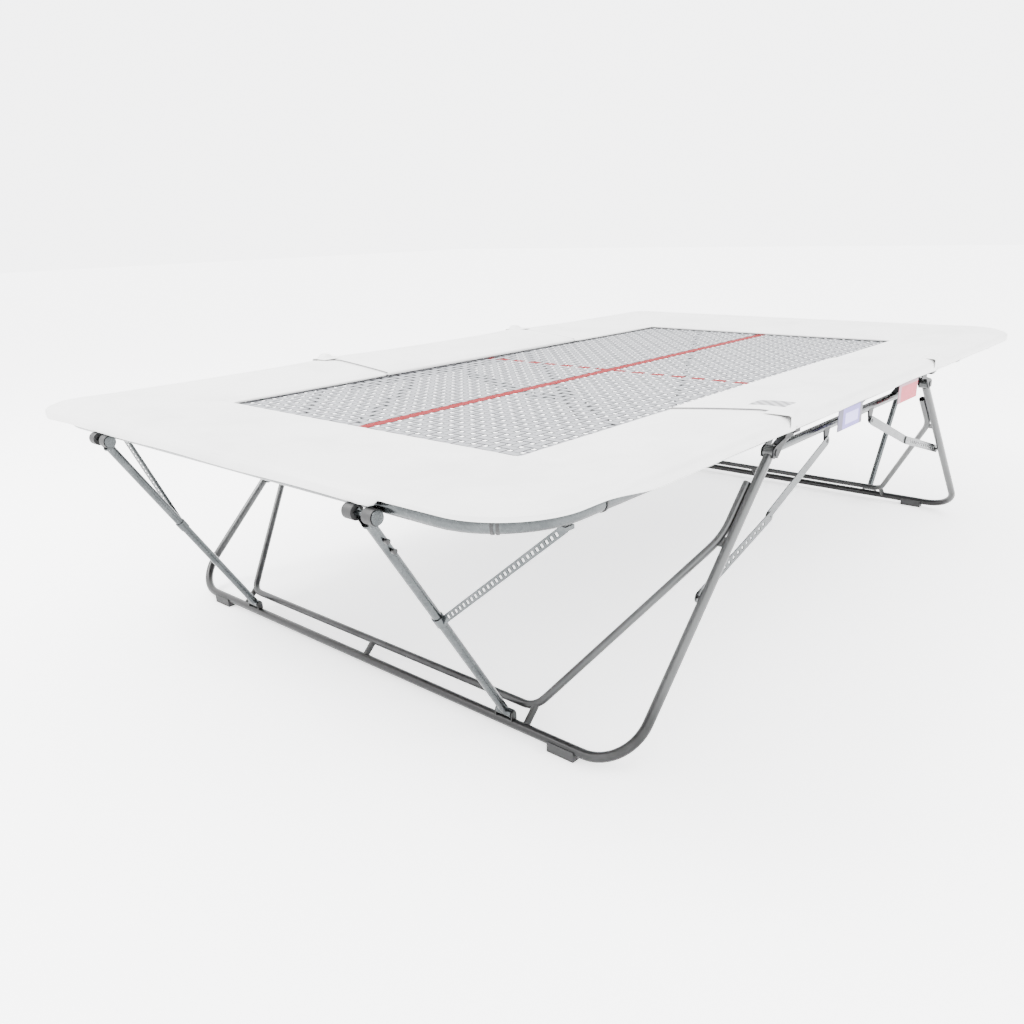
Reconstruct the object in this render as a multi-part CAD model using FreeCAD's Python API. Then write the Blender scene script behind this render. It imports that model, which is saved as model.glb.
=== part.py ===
"""Folding competition trampoline: a three-section tube frame on two folding U-shaped legs.

X runs across the bed, Y along it and Z up. The origin is on the floor under the middle of the bed.
The near end is -Y, the far end +Y, the left side -X and the right side +X. Sizes are millimetres.
"""
import math
import os

import FreeCAD, Part
from FreeCAD import Vector

# ---------------------------------------------------------------- driving dimensions
# Top frame: a rounded rectangle of round steel tube in three sections.
FRAME_LENGTH = 5200.0
FRAME_WIDTH = 3050.0
FRAME_TOP = 1155.0
MAIN_TUBE_D = 60.0
MAIN_WALL = 3.0
CORNER_R = 300.0
MIDDLE_HALF = 900.0        # half length of the middle section, to each hinge line
TUBE_GAP = 4.0             # from a hinge line to each cut tube end
HINGE_AXIS_ABOVE = 45.0    # hinge pin centre over the top of the tube

# Section hinges, outside the tubes. Across X: middle lug, end lug, middle lug.
HINGE_PIN_R = 6.0
HINGE_LUG = 10.0
HINGE_SIDE_GAP = 0.5
HINGE_LUG_R = 12.0
HINGE_TUBE_GAP = 4.0
HINGE_FOOT = 45.0
NOTCH_MARGIN = 10.0        # round the hinges, to the pads
NOTCH_HALF = 62.0

# Bed and springs.
BED_SIDE_MARGIN = 455.0    # from the frame's outside to the bed, at the sides
BED_END_MARGIN = 460.0     # and at the ends
BED_THICK = 6.0
SPRING_PITCH = 110.0
SPRING_COIL_LENGTH = 250.0
SPRING_COIL_R = 11.0
SPRING_BORE_R = 7.0
SPRING_HOOK_R = 2.5

# Frame pads.
PAD_THICK = 30.0
PAD_LIFT = 5.0             # clear height from the tube top to the pad
PAD_OVERHANG = 45.0        # pad edge outside the side tube
PAD_END_OVERHANG = 35.0    # pad edge outside the end tube
PAD_OVER_BED_SIDE = 111.0  # how far the side pads reach over the bed
PAD_OVER_BED_END = 209.0
PAD_FLAT_INSET = 95.0      # from a tube's centre line inwards to where the pad starts to slope
PAD_EDGE_DROP = 38.0       # how far the top slopes down to the opening
PAD_EDGE_GAP = 6.0         # from the bed to the pad's inner edge
PAD_GAP = 5.0              # from a hinge line to each pad end
PAD_CORNER_R = 300.0
LIP_DROP = 65.0            # how far the pads' outer lip hangs down outside the tubes
LIP_THICK = 28.0

# Lower side rails of the middle section.
RAIL_D = 42.0
RAIL_WALL = 2.5
STAY_SPACE = 22.0          # from the leg to the rail, where the stays fold
RAIL_DROP = 115.0          # from the side tube's centre line down
RAIL_HALF = 800.0
RAIL_TURN_Y = 765.0        # where the rail turns up to the side tube
RAIL_TURN_R = 55.0
CAP_THICK = 8.0
BRACKET_LENGTH = 70.0

# Leg frames.
LEG_D = 42.0
LEG_WALL = 2.5
LEG_INSET = 3.0            # from the side tube's centre line inwards
PIVOT_Y = 970.0
PIVOT_DROP = 85.0          # from the side tube's centre line down
FOOT_Y = 1990.0
FOOT_BAR_Z = 40.0
LEG_BEND_R = 200.0
INNER_D = 34.0
INNER_WALL = 2.5
INNER_RISE = 92.0          # inner bar above the foot bar, measured up the leg
INNER_BEND_INSET = 492.0   # from the outer leg in to the bottom bend
INNER_BEND_U = 1010.0      # where the slanted side turns to run beside the outer leg
INNER_TOP_U = 1270.0
EYE_R = 28.0
LEG_PIN_R = 10.0
PIVOT_CHEEK = 6.0
CHEEK_GAP = 1.5
RUNNING = 0.06             # radial clearance of every hinge pin

# Struts from the foot bar to the end tube.
STRUT_INSET = 592.0        # from the leg's centre line inwards
STRUT_D = 38.0
STRUT_WALL = 2.5
STRUT_PIN_R = 10.0
SLEEVE_HALF = 38.0
SLEEVE_R = 19.0
SLEEVE_GAP = 3.0           # from the foot bar to the sleeve
LUG_THICK = 6.0
ROLLER_R = 28.0
ROLLER_LENGTH = 45.0
AXLE_R = 8.0
SADDLE_GAP = 2.0           # roller to end tube
SADDLE_ANGLE = 30.0        # the rollers sit this far below the tube's outer side, in degrees
FORK_HALF = 20.0
BRACE_FROM_BEND = 50.0     # brace centre outside the start of the frame's corner
BRACE_WIDTH = 30.0
BRACE_THICK = 4.0
BRACE_HOLE = 13.0
BRACE_PITCH = 26.0
KNOB_R = 10.0
KNOB_STEM_R = 4.0
KNOB_SHARES = (0.853, 0.895)   # places of the two latch knobs along a strut
KNOB_STANDOFF = 5.0

# Folding leg stays: an upper link on the rail and a lower link on the leg.
STAY_TAB_U = 735.0
STAY_ANCHOR_Y = 280.0
STAY_ANCHOR_DROP = 65.0    # below the rail's centre line
STAY_SLACK = 0.5            # what each link is longer than half the straight line between its pins
STAY_WIDTH = 46.0
STAY_THICK = 4.0
STAY_PIN_R = 6.0
STAY_HOLE = 16.0
STAY_HOLE_PITCH = 38.0

# Collars on the end tubes' arms: distance beyond the bed's end, where no spring hooks on, and length.
COLLARS = [(20.0, 10.0), (-642.0, 24.0)]
CORNER_COLLAR_ANGLES = [52.0, 55.0]     # two clamp rings in the corner bend, degrees from the X axis
CORNER_COLLAR_LENGTH = 10.0
COLLAR_PROUD = 3.0

FOOT_PAD_INSET = 92.0       # from the leg's bend inwards to the pad's middle
FOOT_PAD_LENGTH = 130.0
PLATE_LENGTH = 290.0
PLATE_THICK = 3.0
BLUE_PLATE_Y = -180.0
RED_PLATE_Y = 620.0
WEB_REACH = 45.0            # how far the gusset runs down from the inner leg's upper bend

# ---------------------------------------------------------------- derived places
MAIN_R = MAIN_TUBE_D / 2
TUBE_Z = FRAME_TOP - MAIN_R
SIDE_X = FRAME_WIDTH / 2 - MAIN_R
END_Y = FRAME_LENGTH / 2 - MAIN_R
PAD_BOTTOM = FRAME_TOP + PAD_LIFT
PAD_TOP = PAD_BOTTOM + PAD_THICK
BED_LENGTH = FRAME_LENGTH - 2 * BED_END_MARGIN
BED_WIDTH = FRAME_WIDTH - 2 * BED_SIDE_MARGIN
OPENING_HALF_WIDTH = BED_WIDTH / 2 - PAD_OVER_BED_SIDE
OPENING_HALF_LENGTH = BED_LENGTH / 2 - PAD_OVER_BED_END
PAD_X = FRAME_WIDTH / 2 + PAD_OVERHANG
PAD_Y = FRAME_LENGTH / 2 + PAD_END_OVERHANG
HINGE_Z = FRAME_TOP + HINGE_AXIS_ABOVE
RAIL_R = RAIL_D / 2
RAIL_Z = TUBE_Z - RAIL_DROP
PIVOT_Z = TUBE_Z - PIVOT_DROP
STAY_ANCHOR_Z = RAIL_Z - STAY_ANCHOR_DROP
LEG_R = LEG_D / 2
LEG_X = SIDE_X - LEG_INSET
RAIL_X = LEG_X - LEG_R - STAY_SPACE - RAIL_R
STRUT_X = LEG_X - STRUT_INSET
INNER_HALF_WIDTH = LEG_X - INNER_BEND_INSET
FOOT_PAD_X = LEG_X - LEG_BEND_R - FOOT_PAD_INSET
BRACE_Y = END_Y - CORNER_R + BRACE_FROM_BEND
INNER_R = INNER_D / 2
LEG_LENGTH = math.hypot(FOOT_Y - PIVOT_Y, PIVOT_Z - FOOT_BAR_Z)
LEG_COS = (FOOT_Y - PIVOT_Y) / LEG_LENGTH
LEG_SIN = (PIVOT_Z - FOOT_BAR_Z) / LEG_LENGTH
STRUT_PIN_Z = FOOT_BAR_Z + LEG_R + SLEEVE_R + SLEEVE_GAP
SADDLE_REACH = MAIN_R + SADDLE_GAP + ROLLER_R
AXLE_Y = END_Y + SADDLE_REACH * math.cos(math.radians(SADDLE_ANGLE))
AXLE_Z = TUBE_Z - SADDLE_REACH * math.sin(math.radians(SADDLE_ANGLE))
STRUT_R = STRUT_D / 2
HINGE_INNER_X = SIDE_X + MAIN_R + HINGE_TUBE_GAP
HINGE_END_X = HINGE_INNER_X + HINGE_LUG + HINGE_SIDE_GAP
HINGE_OUTER_X = HINGE_END_X + HINGE_LUG + HINGE_SIDE_GAP
NOTCH_X = HINGE_INNER_X - NOTCH_MARGIN
# Across X, from the leg inwards: lower stay link, then the two upper-link planes.
LOWER_LINK_X = LEG_X - LEG_R - 6.0
NEAR_LINK_X = RAIL_X + RAIL_R + 1.5 + STAY_THICK
FAR_LINK_X = NEAR_LINK_X + STAY_THICK + 1.0
INNER_BENDS = [300.0, 90.0, 90.0, 300.0]

parts = {}


# ---------------------------------------------------------------- shape helpers
def add(name, solids):
    """Keep a node's solids, flattened to single closed solids."""
    flat = [solid for shape in solids for solid in shape.Solids]
    parts[name] = flat


def flip_y(shapes):
    """The far-end copy of near-end shapes."""
    return [shape.mirror(Vector(0, 0, 0), Vector(0, 1, 0)) for shape in shapes]


def flip_x(shapes):
    """The left-hand copy of right-hand shapes."""
    return [shape.mirror(Vector(0, 0, 0), Vector(1, 0, 0)) for shape in shapes]


def both_sides(shapes):
    return shapes + flip_x(shapes)


def block(x_low, x_high, y_low, y_high, z_low, z_high):
    corner = Vector(x_low, y_low, z_low)
    return Part.makeBox(x_high - x_low, y_high - y_low, z_high - z_low, corner)


def rod(start, end, radius):
    """A solid round bar between two points."""
    along = end - start
    return Part.makeCylinder(radius, along.Length, start, along)


def rod_x(x_low, x_high, y, z, radius):
    return rod(Vector(x_low, y, z), Vector(x_high, y, z), radius)


def ring_x(x_low, x_high, y, z, radius, bore):
    """A round sleeve along X."""
    return rod_x(x_low, x_high, y, z, radius).cut(rod_x(x_low - 1, x_high + 1, y, z, bore))


def pipe(start, end, radius, wall):
    return rod(start, end, radius).cut(rod(start, end, radius - wall))


def plate_x(outline, x_low, x_high):
    """A flat plate normal to X from its (y, z) outline."""
    points = [Vector(x_low, y, z) for y, z in outline]
    face = Part.Face(Part.makePolygon(points + points[:1]))
    return face.extrude(Vector(x_high - x_low, 0, 0))


def bar_y(outline, y_low, y_high):
    """A bar along Y from its (x, z) outline."""
    points = [Vector(x, y_low, z) for x, z in outline]
    face = Part.Face(Part.makePolygon(points + points[:1]))
    return face.extrude(Vector(0, y_high - y_low, 0))


def rounded_path(points, radii):
    """A wire through the points, each inner corner replaced by a tangent arc."""
    edges = []
    start = points[0]
    for corner, after, radius in zip(points[1:-1], points[2:], radii):
        inward = (start - corner).normalize()
        outward = (after - corner).normalize()
        half_angle = inward.getAngle(outward) / 2
        reach = radius / math.tan(half_angle)
        first = corner + inward * reach
        last = corner + outward * reach
        bisector = (inward + outward).normalize()
        centre = corner + bisector * (radius / math.sin(half_angle))
        middle = centre - bisector * radius
        edges.append(Part.LineSegment(start, first).toShape())
        edges.append(Part.Arc(first, middle, last).toShape())
        start = last
    edges.append(Part.LineSegment(start, points[-1]).toShape())
    return Part.Wire(edges)


def bent_bar(points, radii, radius):
    """A solid round bar bent along a rounded path."""
    path = rounded_path(points, radii)
    circle = Part.Wire(Part.makeCircle(radius, points[0], points[1] - points[0]))
    return path.makePipeShell([circle], True, True)


def bent_tube(points, radii, radius, wall):
    return bent_bar(points, radii, radius).cut(bent_bar(points, radii, radius - wall))


def on_leg(x, up, proud=0.0):
    """A point of the near leg's plane: up is the distance from the foot bar towards the pivot."""
    y = -FOOT_Y + up * LEG_COS - proud * LEG_SIN
    z = FOOT_BAR_Z + up * LEG_SIN + proud * LEG_COS
    return Vector(x, y, z)


# ---------------------------------------------------------------- middle section
def side_tube():
    reach = MIDDLE_HALF - TUBE_GAP
    return pipe(Vector(SIDE_X, -reach, TUBE_Z), Vector(SIDE_X, reach, TUBE_Z), MAIN_R, MAIN_WALL)


def side_tube_bar(reach):
    return rod(Vector(SIDE_X, -reach, TUBE_Z), Vector(SIDE_X, reach, TUBE_Z), MAIN_R)


def rail_points():
    return [Vector(RAIL_X, -RAIL_HALF, RAIL_Z), Vector(RAIL_X, RAIL_TURN_Y, RAIL_Z),
            Vector(SIDE_X, RAIL_TURN_Y + 15, TUBE_Z)]


def rail_bar():
    """The rail's outside: straight from the near end, turned up to the side tube at the far end."""
    return bent_bar(rail_points(), [RAIL_TURN_R], RAIL_R)


def lower_rail():
    rail = bent_tube(rail_points(), [RAIL_TURN_R], RAIL_R, RAIL_WALL)
    return largest(rail.cut(side_tube_bar(MIDDLE_HALF)))


def rail_cap():
    """A black cap on the rail's open near end, with a short plug inside."""
    plug_length = 25.0
    face = Vector(RAIL_X, -RAIL_HALF, RAIL_Z)
    disc = Part.makeCylinder(RAIL_R, CAP_THICK, face, Vector(0, -1, 0))
    plug = Part.makeCylinder(RAIL_R - RAIL_WALL - 0.2, plug_length, face, Vector(0, 1, 0))
    return disc.fuse(plug)


def rail_brackets():
    """Pressed brackets that carry the rail under the side tube, at both ends and the middle."""
    outline = [
        (SIDE_X - 25, TUBE_Z - 22), (SIDE_X + 14, TUBE_Z - 22),
        (RAIL_X + 17, RAIL_Z + 12), (RAIL_X - 17, RAIL_Z + 12),
    ]
    tube = side_tube_bar(MIDDLE_HALF)
    rail = rail_bar()
    near = -RAIL_HALF + BRACKET_LENGTH / 2
    far = RAIL_TURN_Y - RAIL_TURN_R - BRACKET_LENGTH / 2
    solids = []
    for middle in (near, 0.0, far):
        bar = bar_y(outline, middle - BRACKET_LENGTH / 2, middle + BRACKET_LENGTH / 2)
        solids.append(largest(bar.cut(tube).cut(rail)))
    return solids


def side_plate(middle_y):
    """A blank sheet plate that hangs upright from the side tube, in front of the rail."""
    outer_x = SIDE_X + MAIN_R * 0.65
    half = PLATE_LENGTH / 2
    plate = block(outer_x - PLATE_THICK, outer_x, middle_y - half, middle_y + half, RAIL_Z - 8, TUBE_Z - 20)
    return plate.cut(side_tube_bar(MIDDLE_HALF))


def leg_pivot_brackets():
    """Two cheeks welded under the side tube's end that reach out to the leg pin."""
    outline = [
        (-PIVOT_Y - 30, PIVOT_Z - 16), (-PIVOT_Y - 30, PIVOT_Z + 16), (-PIVOT_Y - 10, PIVOT_Z + 29),
        (-MIDDLE_HALF + 4, TUBE_Z - MAIN_R - 6), (-MIDDLE_HALF + 4, TUBE_Z - 12),
        (-MIDDLE_HALF + 84, TUBE_Z - 12), (-MIDDLE_HALF + 84, TUBE_Z - MAIN_R - 8),
        (-MIDDLE_HALF, TUBE_Z - MAIN_R - 18), (-PIVOT_Y + 30, PIVOT_Z - 10), (-PIVOT_Y + 12, PIVOT_Z - 26),
    ]
    inner = LEG_X - LEG_R - CHEEK_GAP
    outer = LEG_X + LEG_R + CHEEK_GAP
    bore = rod_x(LEG_X - 60, LEG_X + 60, -PIVOT_Y, PIVOT_Z, LEG_PIN_R)
    tube = side_tube_bar(MIDDLE_HALF)
    cheeks = [plate_x(outline, inner - PIVOT_CHEEK, inner), plate_x(outline, outer, outer + PIVOT_CHEEK)]
    return [cheek.cut(tube).cut(bore) for cheek in cheeks]


def leg_pivot_pin():
    inner = LEG_X - LEG_R - CHEEK_GAP - PIVOT_CHEEK
    outer = LEG_X + LEG_R + CHEEK_GAP + PIVOT_CHEEK
    head = 3.0
    pin = rod_x(inner - head, outer + head, -PIVOT_Y, PIVOT_Z, LEG_PIN_R)
    for x_low in (inner - head, outer):
        pin = pin.fuse(rod_x(x_low, x_low + head, -PIVOT_Y, PIVOT_Z, LEG_PIN_R + 5))
    return pin.removeSplitter()


def hinge_lug(x_low, x_high, sign, bore):
    """A lug from the pin down to the tube's side; sign is +1 on the middle section's side."""
    line = -MIDDLE_HALF
    near = line + sign * 8.0
    outline = [
        (line - HINGE_LUG_R * 0.7, HINGE_Z + HINGE_LUG_R * 0.7), (line - HINGE_LUG_R, HINGE_Z),
        (line - HINGE_LUG_R * 0.7, HINGE_Z - HINGE_LUG_R * 0.7),
        (near, HINGE_Z - 30), (near, TUBE_Z - 12), (near + sign * HINGE_FOOT, TUBE_Z - 12),
        (near + sign * HINGE_FOOT, TUBE_Z + 14), (line + HINGE_LUG_R * 0.7, HINGE_Z + HINGE_LUG_R * 0.7),
    ]
    if sign < 0:
        outline = [(2 * line - y, z) for y, z in outline]
        outline[3] = (near, HINGE_Z - 30)
        outline[4] = (near, TUBE_Z - 12)
        outline[5] = (near - HINGE_FOOT, TUBE_Z - 12)
        outline[6] = (near - HINGE_FOOT, TUBE_Z + 14)
    lug = plate_x(outline, x_low, x_high)
    lug = lug.fuse(rod_x(x_low, x_high, line, HINGE_Z, HINGE_LUG_R))
    return lug.cut(rod_x(x_low - 1, x_high + 1, line, HINGE_Z, bore)).removeSplitter()


def hinge_foot(x_high, sign):
    """The block that welds a section's lugs to the side of its tube."""
    near = -MIDDLE_HALF + sign * 8.0
    far = near + sign * HINGE_FOOT
    foot = block(SIDE_X + 10, x_high, min(near, far), max(near, far), TUBE_Z - 12, TUBE_Z + 14)
    return foot.cut(side_tube_bar(FRAME_LENGTH / 2))


def middle_hinge():
    fused = hinge_foot(HINGE_OUTER_X + HINGE_LUG, 1)
    for x_low in (HINGE_INNER_X, HINGE_OUTER_X):
        fused = fused.fuse(hinge_lug(x_low, x_low + HINGE_LUG, 1, HINGE_PIN_R))
    return fused.removeSplitter()


def end_hinge():
    foot = hinge_foot(HINGE_END_X + HINGE_LUG, -1)
    return foot.fuse(hinge_lug(HINGE_END_X, HINGE_END_X + HINGE_LUG, -1, HINGE_PIN_R + RUNNING)).removeSplitter()


def hinge_pin():
    head = 2.5
    pin = rod_x(HINGE_INNER_X - head, HINGE_OUTER_X + HINGE_LUG + head, -MIDDLE_HALF, HINGE_Z, HINGE_PIN_R)
    for x_low in (HINGE_INNER_X - head, HINGE_OUTER_X + HINGE_LUG):
        pin = pin.fuse(rod_x(x_low, x_low + head, -MIDDLE_HALF, HINGE_Z, HINGE_PIN_R + 3))
    return pin.removeSplitter()


# ---------------------------------------------------------------- bed, springs and pads
def bed(y_low, y_high):
    return block(-BED_WIDTH / 2, BED_WIDTH / 2, y_low, y_high, TUBE_Z - BED_THICK / 2, TUBE_Z + BED_THICK / 2)


def spring(bed_edge, frame_edge):
    """One closed-coil spring between two points, with a straight hook at each end."""
    along = (frame_edge - bed_edge).normalize()
    middle = (frame_edge + bed_edge) * 0.5
    start = middle - along * (SPRING_COIL_LENGTH / 2)
    end = middle + along * (SPRING_COIL_LENGTH / 2)
    coil = rod(start, end, SPRING_COIL_R).cut(rod(start, end, SPRING_BORE_R))
    hook_overlap = 6.0
    offset = Vector(0, 0, (SPRING_COIL_R + SPRING_BORE_R) / 2)
    inner = rod(bed_edge + offset, start + along * hook_overlap + offset, SPRING_HOOK_R)
    outer = rod(end - along * hook_overlap + offset, frame_edge + offset, SPRING_HOOK_R)
    return coil.fuse(inner).fuse(outer)


def side_springs(y_low, y_high):
    """Right-hand side springs, spaced evenly between two places along Y."""
    count = int(round((y_high - y_low) / SPRING_PITCH))
    step = (y_high - y_low) / count
    rows = [y_low + step * (index + 0.5) for index in range(count)]
    frame_x = SIDE_X - MAIN_R - 0.5
    return [spring(Vector(BED_WIDTH / 2 + 1, y, TUBE_Z), Vector(frame_x, y, TUBE_Z)) for y in rows]


def end_springs():
    """The springs across the near end."""
    count = int(BED_WIDTH / SPRING_PITCH) + 1
    columns = [(index - (count - 1) / 2) * SPRING_PITCH for index in range(count)]
    bed_y = -BED_LENGTH / 2 - 1
    frame_y = -END_Y + MAIN_R + 0.5
    return [spring(Vector(x, bed_y, TUBE_Z), Vector(x, frame_y, TUBE_Z)) for x in columns]


def hinge_notch():
    """Room in the pads round the right-hand near hinge."""
    return block(NOTCH_X, PAD_X + 5, -MIDDLE_HALF - NOTCH_HALF, -MIDDLE_HALF + NOTCH_HALF,
                 PAD_TOP - LIP_DROP - 1, PAD_TOP + 1)


def rounded_slab(half_x, half_y, radius, z_low, z_high):
    """A flat slab with a rounded-rectangle outline, centred on the bed."""
    slab = block(-half_x, half_x, -half_y, half_y, z_low, z_high)
    upright = [edge for edge in slab.Edges if abs(edge.BoundBox.ZLength - (z_high - z_low)) < 1e-6]
    return slab.makeFillet(radius, upright)


def frustum(low_x, low_y, z_low, high_x, high_y, z_high):
    """A solid between two level rectangles centred on the bed."""
    wires = []
    for half_x, half_y, z in ((low_x, low_y, z_low), (high_x, high_y, z_high)):
        corners = [Vector(-half_x, -half_y, z), Vector(half_x, -half_y, z),
                   Vector(half_x, half_y, z), Vector(-half_x, half_y, z)]
        wires.append(Part.makePolygon(corners + corners[:1]))
    return Part.makeLoft(wires, True, True)


def pad_ring():
    """All the frame pads as one ring.

    A flat slab lies over the tubes, a lip hangs outside them, and the inside slopes down to the bed.
    """
    lip_bottom = PAD_TOP - LIP_DROP
    flat_x = SIDE_X - PAD_FLAT_INSET
    flat_y = END_Y - PAD_FLAT_INSET
    edge_bottom = TUBE_Z + BED_THICK / 2 + PAD_EDGE_GAP
    slope_under = frustum(OPENING_HALF_WIDTH, OPENING_HALF_LENGTH, edge_bottom, flat_x, flat_y, PAD_BOTTOM)
    dish = frustum(OPENING_HALF_WIDTH, OPENING_HALF_LENGTH, PAD_TOP - PAD_EDGE_DROP, flat_x, flat_y, PAD_TOP)
    outside = rounded_slab(PAD_X, PAD_Y, PAD_CORNER_R, lip_bottom, PAD_TOP)
    under = rounded_slab(PAD_X - LIP_THICK, PAD_Y - LIP_THICK, PAD_CORNER_R - LIP_THICK,
                         lip_bottom - 1, PAD_BOTTOM)
    opening = block(-OPENING_HALF_WIDTH, OPENING_HALF_WIDTH, -OPENING_HALF_LENGTH, OPENING_HALF_LENGTH,
                    lip_bottom - 1, PAD_TOP + 1)
    notches = both_sides([hinge_notch()] + flip_y([hinge_notch()]))
    ring = outside.cut(under).fuse(slope_under).cut(dish).cut(opening)
    for notch in notches:
        ring = ring.cut(notch)
    return ring


def middle_pad(ring):
    reach = MIDDLE_HALF - PAD_GAP
    return ring.common(block(0, PAD_X + 1, -reach, reach, 0, PAD_TOP + 1)).removeSplitter()


def end_pad(ring):
    """The near end's U-shaped pad."""
    reach = MIDDLE_HALF + PAD_GAP
    return ring.common(block(-PAD_X - 1, PAD_X + 1, -PAD_Y - 1, -reach, 0, PAD_TOP + 1)).removeSplitter()


# ---------------------------------------------------------------- end sections
def end_tube_points():
    start = -MIDDLE_HALF - TUBE_GAP
    return [
        Vector(-SIDE_X, start, TUBE_Z), Vector(-SIDE_X, -END_Y, TUBE_Z),
        Vector(SIDE_X, -END_Y, TUBE_Z), Vector(SIDE_X, start, TUBE_Z),
    ]


def end_tube():
    return bent_tube(end_tube_points(), [CORNER_R, CORNER_R], MAIN_R, MAIN_WALL)


def tube_collars():
    """Clamp rings and a joint sleeve round the right-hand arm of the near end tube."""
    places = []
    for beyond_bed, length in COLLARS:
        places.append((Vector(SIDE_X, -BED_LENGTH / 2 - beyond_bed, TUBE_Z), Vector(0, length / 2, 0)))
    centre = Vector(SIDE_X - CORNER_R, -END_Y + CORNER_R, TUBE_Z)
    for degrees in CORNER_COLLAR_ANGLES:
        angle = math.radians(degrees)
        middle = centre + Vector(math.cos(angle), -math.sin(angle), 0) * CORNER_R
        along = Vector(math.sin(angle), math.cos(angle), 0)
        places.append((middle, along * (CORNER_COLLAR_LENGTH / 2)))
    tube = bent_bar(end_tube_points(), [CORNER_R, CORNER_R], MAIN_R)
    return [rod(middle - half, middle + half, MAIN_R + COLLAR_PROUD).cut(tube) for middle, half in places]


# ---------------------------------------------------------------- leg frames
def leg_points():
    top = LEG_LENGTH - EYE_R + 4
    return [on_leg(-LEG_X, top), on_leg(-LEG_X, 0), on_leg(LEG_X, 0), on_leg(LEG_X, top)]


def leg_eye():
    return ring_x(LEG_X - LEG_R, LEG_X + LEG_R, -PIVOT_Y, PIVOT_Z, EYE_R, LEG_PIN_R + RUNNING)


def outer_leg():
    eye_room = rod_x(-LEG_X - LEG_R - 1, LEG_X + LEG_R + 1, -PIVOT_Y, PIVOT_Z, EYE_R)
    return bent_tube(leg_points(), [LEG_BEND_R, LEG_BEND_R], LEG_R, LEG_WALL).cut(eye_room)


def inner_points():
    beside = LEG_X - LEG_R - INNER_R - 0.5
    return [
        on_leg(-beside, INNER_TOP_U), on_leg(-beside, INNER_BEND_U), on_leg(-INNER_HALF_WIDTH, INNER_RISE),
        on_leg(INNER_HALF_WIDTH, INNER_RISE), on_leg(beside, INNER_BEND_U), on_leg(beside, INNER_TOP_U),
    ]


def leg_webs():
    """Stubs between the two bottom bars, and a gusset where the inner leg meets the outer."""
    outer = bent_bar(leg_points(), [LEG_BEND_R, LEG_BEND_R], LEG_R)
    inner = bent_bar(inner_points(), INNER_BENDS, INNER_R)
    stub_r = 15.0
    solids = []
    for x in (-INNER_HALF_WIDTH, 0.0, INNER_HALF_WIDTH):
        stub = rod(on_leg(x, 0), on_leg(x, INNER_RISE + 10), stub_r)
        solids.append(stub.cut(outer).cut(inner))
    half = 3.0
    low = INNER_BEND_U - WEB_REACH
    beside = LEG_X - LEG_R - INNER_R
    slant = (beside - INNER_HALF_WIDTH) / (INNER_BEND_U - INNER_RISE)
    outline = [(LEG_X, low), (beside - slant * WEB_REACH, low), (beside, INNER_BEND_U), (LEG_X, INNER_BEND_U)]
    corners = [on_leg(x, up, -half) for x, up in outline]
    normal = on_leg(0, 0, 2 * half) - on_leg(0, 0, 0)
    gusset = Part.Face(Part.makePolygon(corners + corners[:1])).extrude(normal)
    gusset = gusset.cut(outer).cut(inner)
    return [largest(stub) for stub in solids] + both_sides([largest(gusset)])


def largest(shape):
    """The biggest solid of a cut shape."""
    return max(shape.Solids, key=lambda solid: solid.Volume)


def strut_lugs():
    """Lugs on the foot bar with the strut's pin fixed through them."""
    bar = rod_x(-LEG_X, LEG_X, -FOOT_Y, FOOT_BAR_Z, LEG_R)
    gap = 2.0
    fused = rod_x(STRUT_X - SLEEVE_HALF - gap - LUG_THICK, STRUT_X + SLEEVE_HALF + gap + LUG_THICK,
                  -FOOT_Y, STRUT_PIN_Z, STRUT_PIN_R)
    half = 15.0
    for x_low in (STRUT_X - SLEEVE_HALF - gap - LUG_THICK, STRUT_X + SLEEVE_HALF + gap):
        plate = block(x_low, x_low + LUG_THICK, -FOOT_Y - half, -FOOT_Y + half, FOOT_BAR_Z, STRUT_PIN_Z)
        crown = rod_x(x_low, x_low + LUG_THICK, -FOOT_Y, STRUT_PIN_Z, half)
        fused = fused.fuse(plate.fuse(crown))
    return fused.cut(bar).removeSplitter()


def foot_pad():
    """A rubber saddle under the foot bar; its underside is the surface that stands on the floor."""
    half = FOOT_PAD_LENGTH / 2
    wrap = 5.0
    pad = block(FOOT_PAD_X - half, FOOT_PAD_X + half, -FOOT_Y - LEG_R - wrap, -FOOT_Y + LEG_R + wrap,
                0, FOOT_BAR_Z + 4)
    return pad.cut(rod_x(FOOT_PAD_X - half - 1, FOOT_PAD_X + half + 1, -FOOT_Y, FOOT_BAR_Z, LEG_R))


def stay_stud():
    """The leg's stud for the lower stay link, with a flat head."""
    y = on_leg(0, STAY_TAB_U).y
    z = on_leg(0, STAY_TAB_U).z
    head_low = LOWER_LINK_X - STAY_THICK - 1.8
    stud = rod_x(head_low, LEG_X - LEG_R + 6, y, z, STAY_PIN_R)
    stud = stud.fuse(rod_x(head_low, head_low + 1.5, y, z, STAY_PIN_R + 3))
    leg = rod(on_leg(LEG_X, STAY_TAB_U - 60), on_leg(LEG_X, STAY_TAB_U + 60), LEG_R)
    return largest(stud.cut(leg))


# ---------------------------------------------------------------- struts
def strut_point(share):
    """A point on the right near strut's centre line; 0 is the foot pin and 1 the roller axle."""
    low = Vector(STRUT_X, -FOOT_Y, STRUT_PIN_Z)
    high = Vector(STRUT_X, -AXLE_Y, AXLE_Z)
    return low + (high - low) * share


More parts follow.
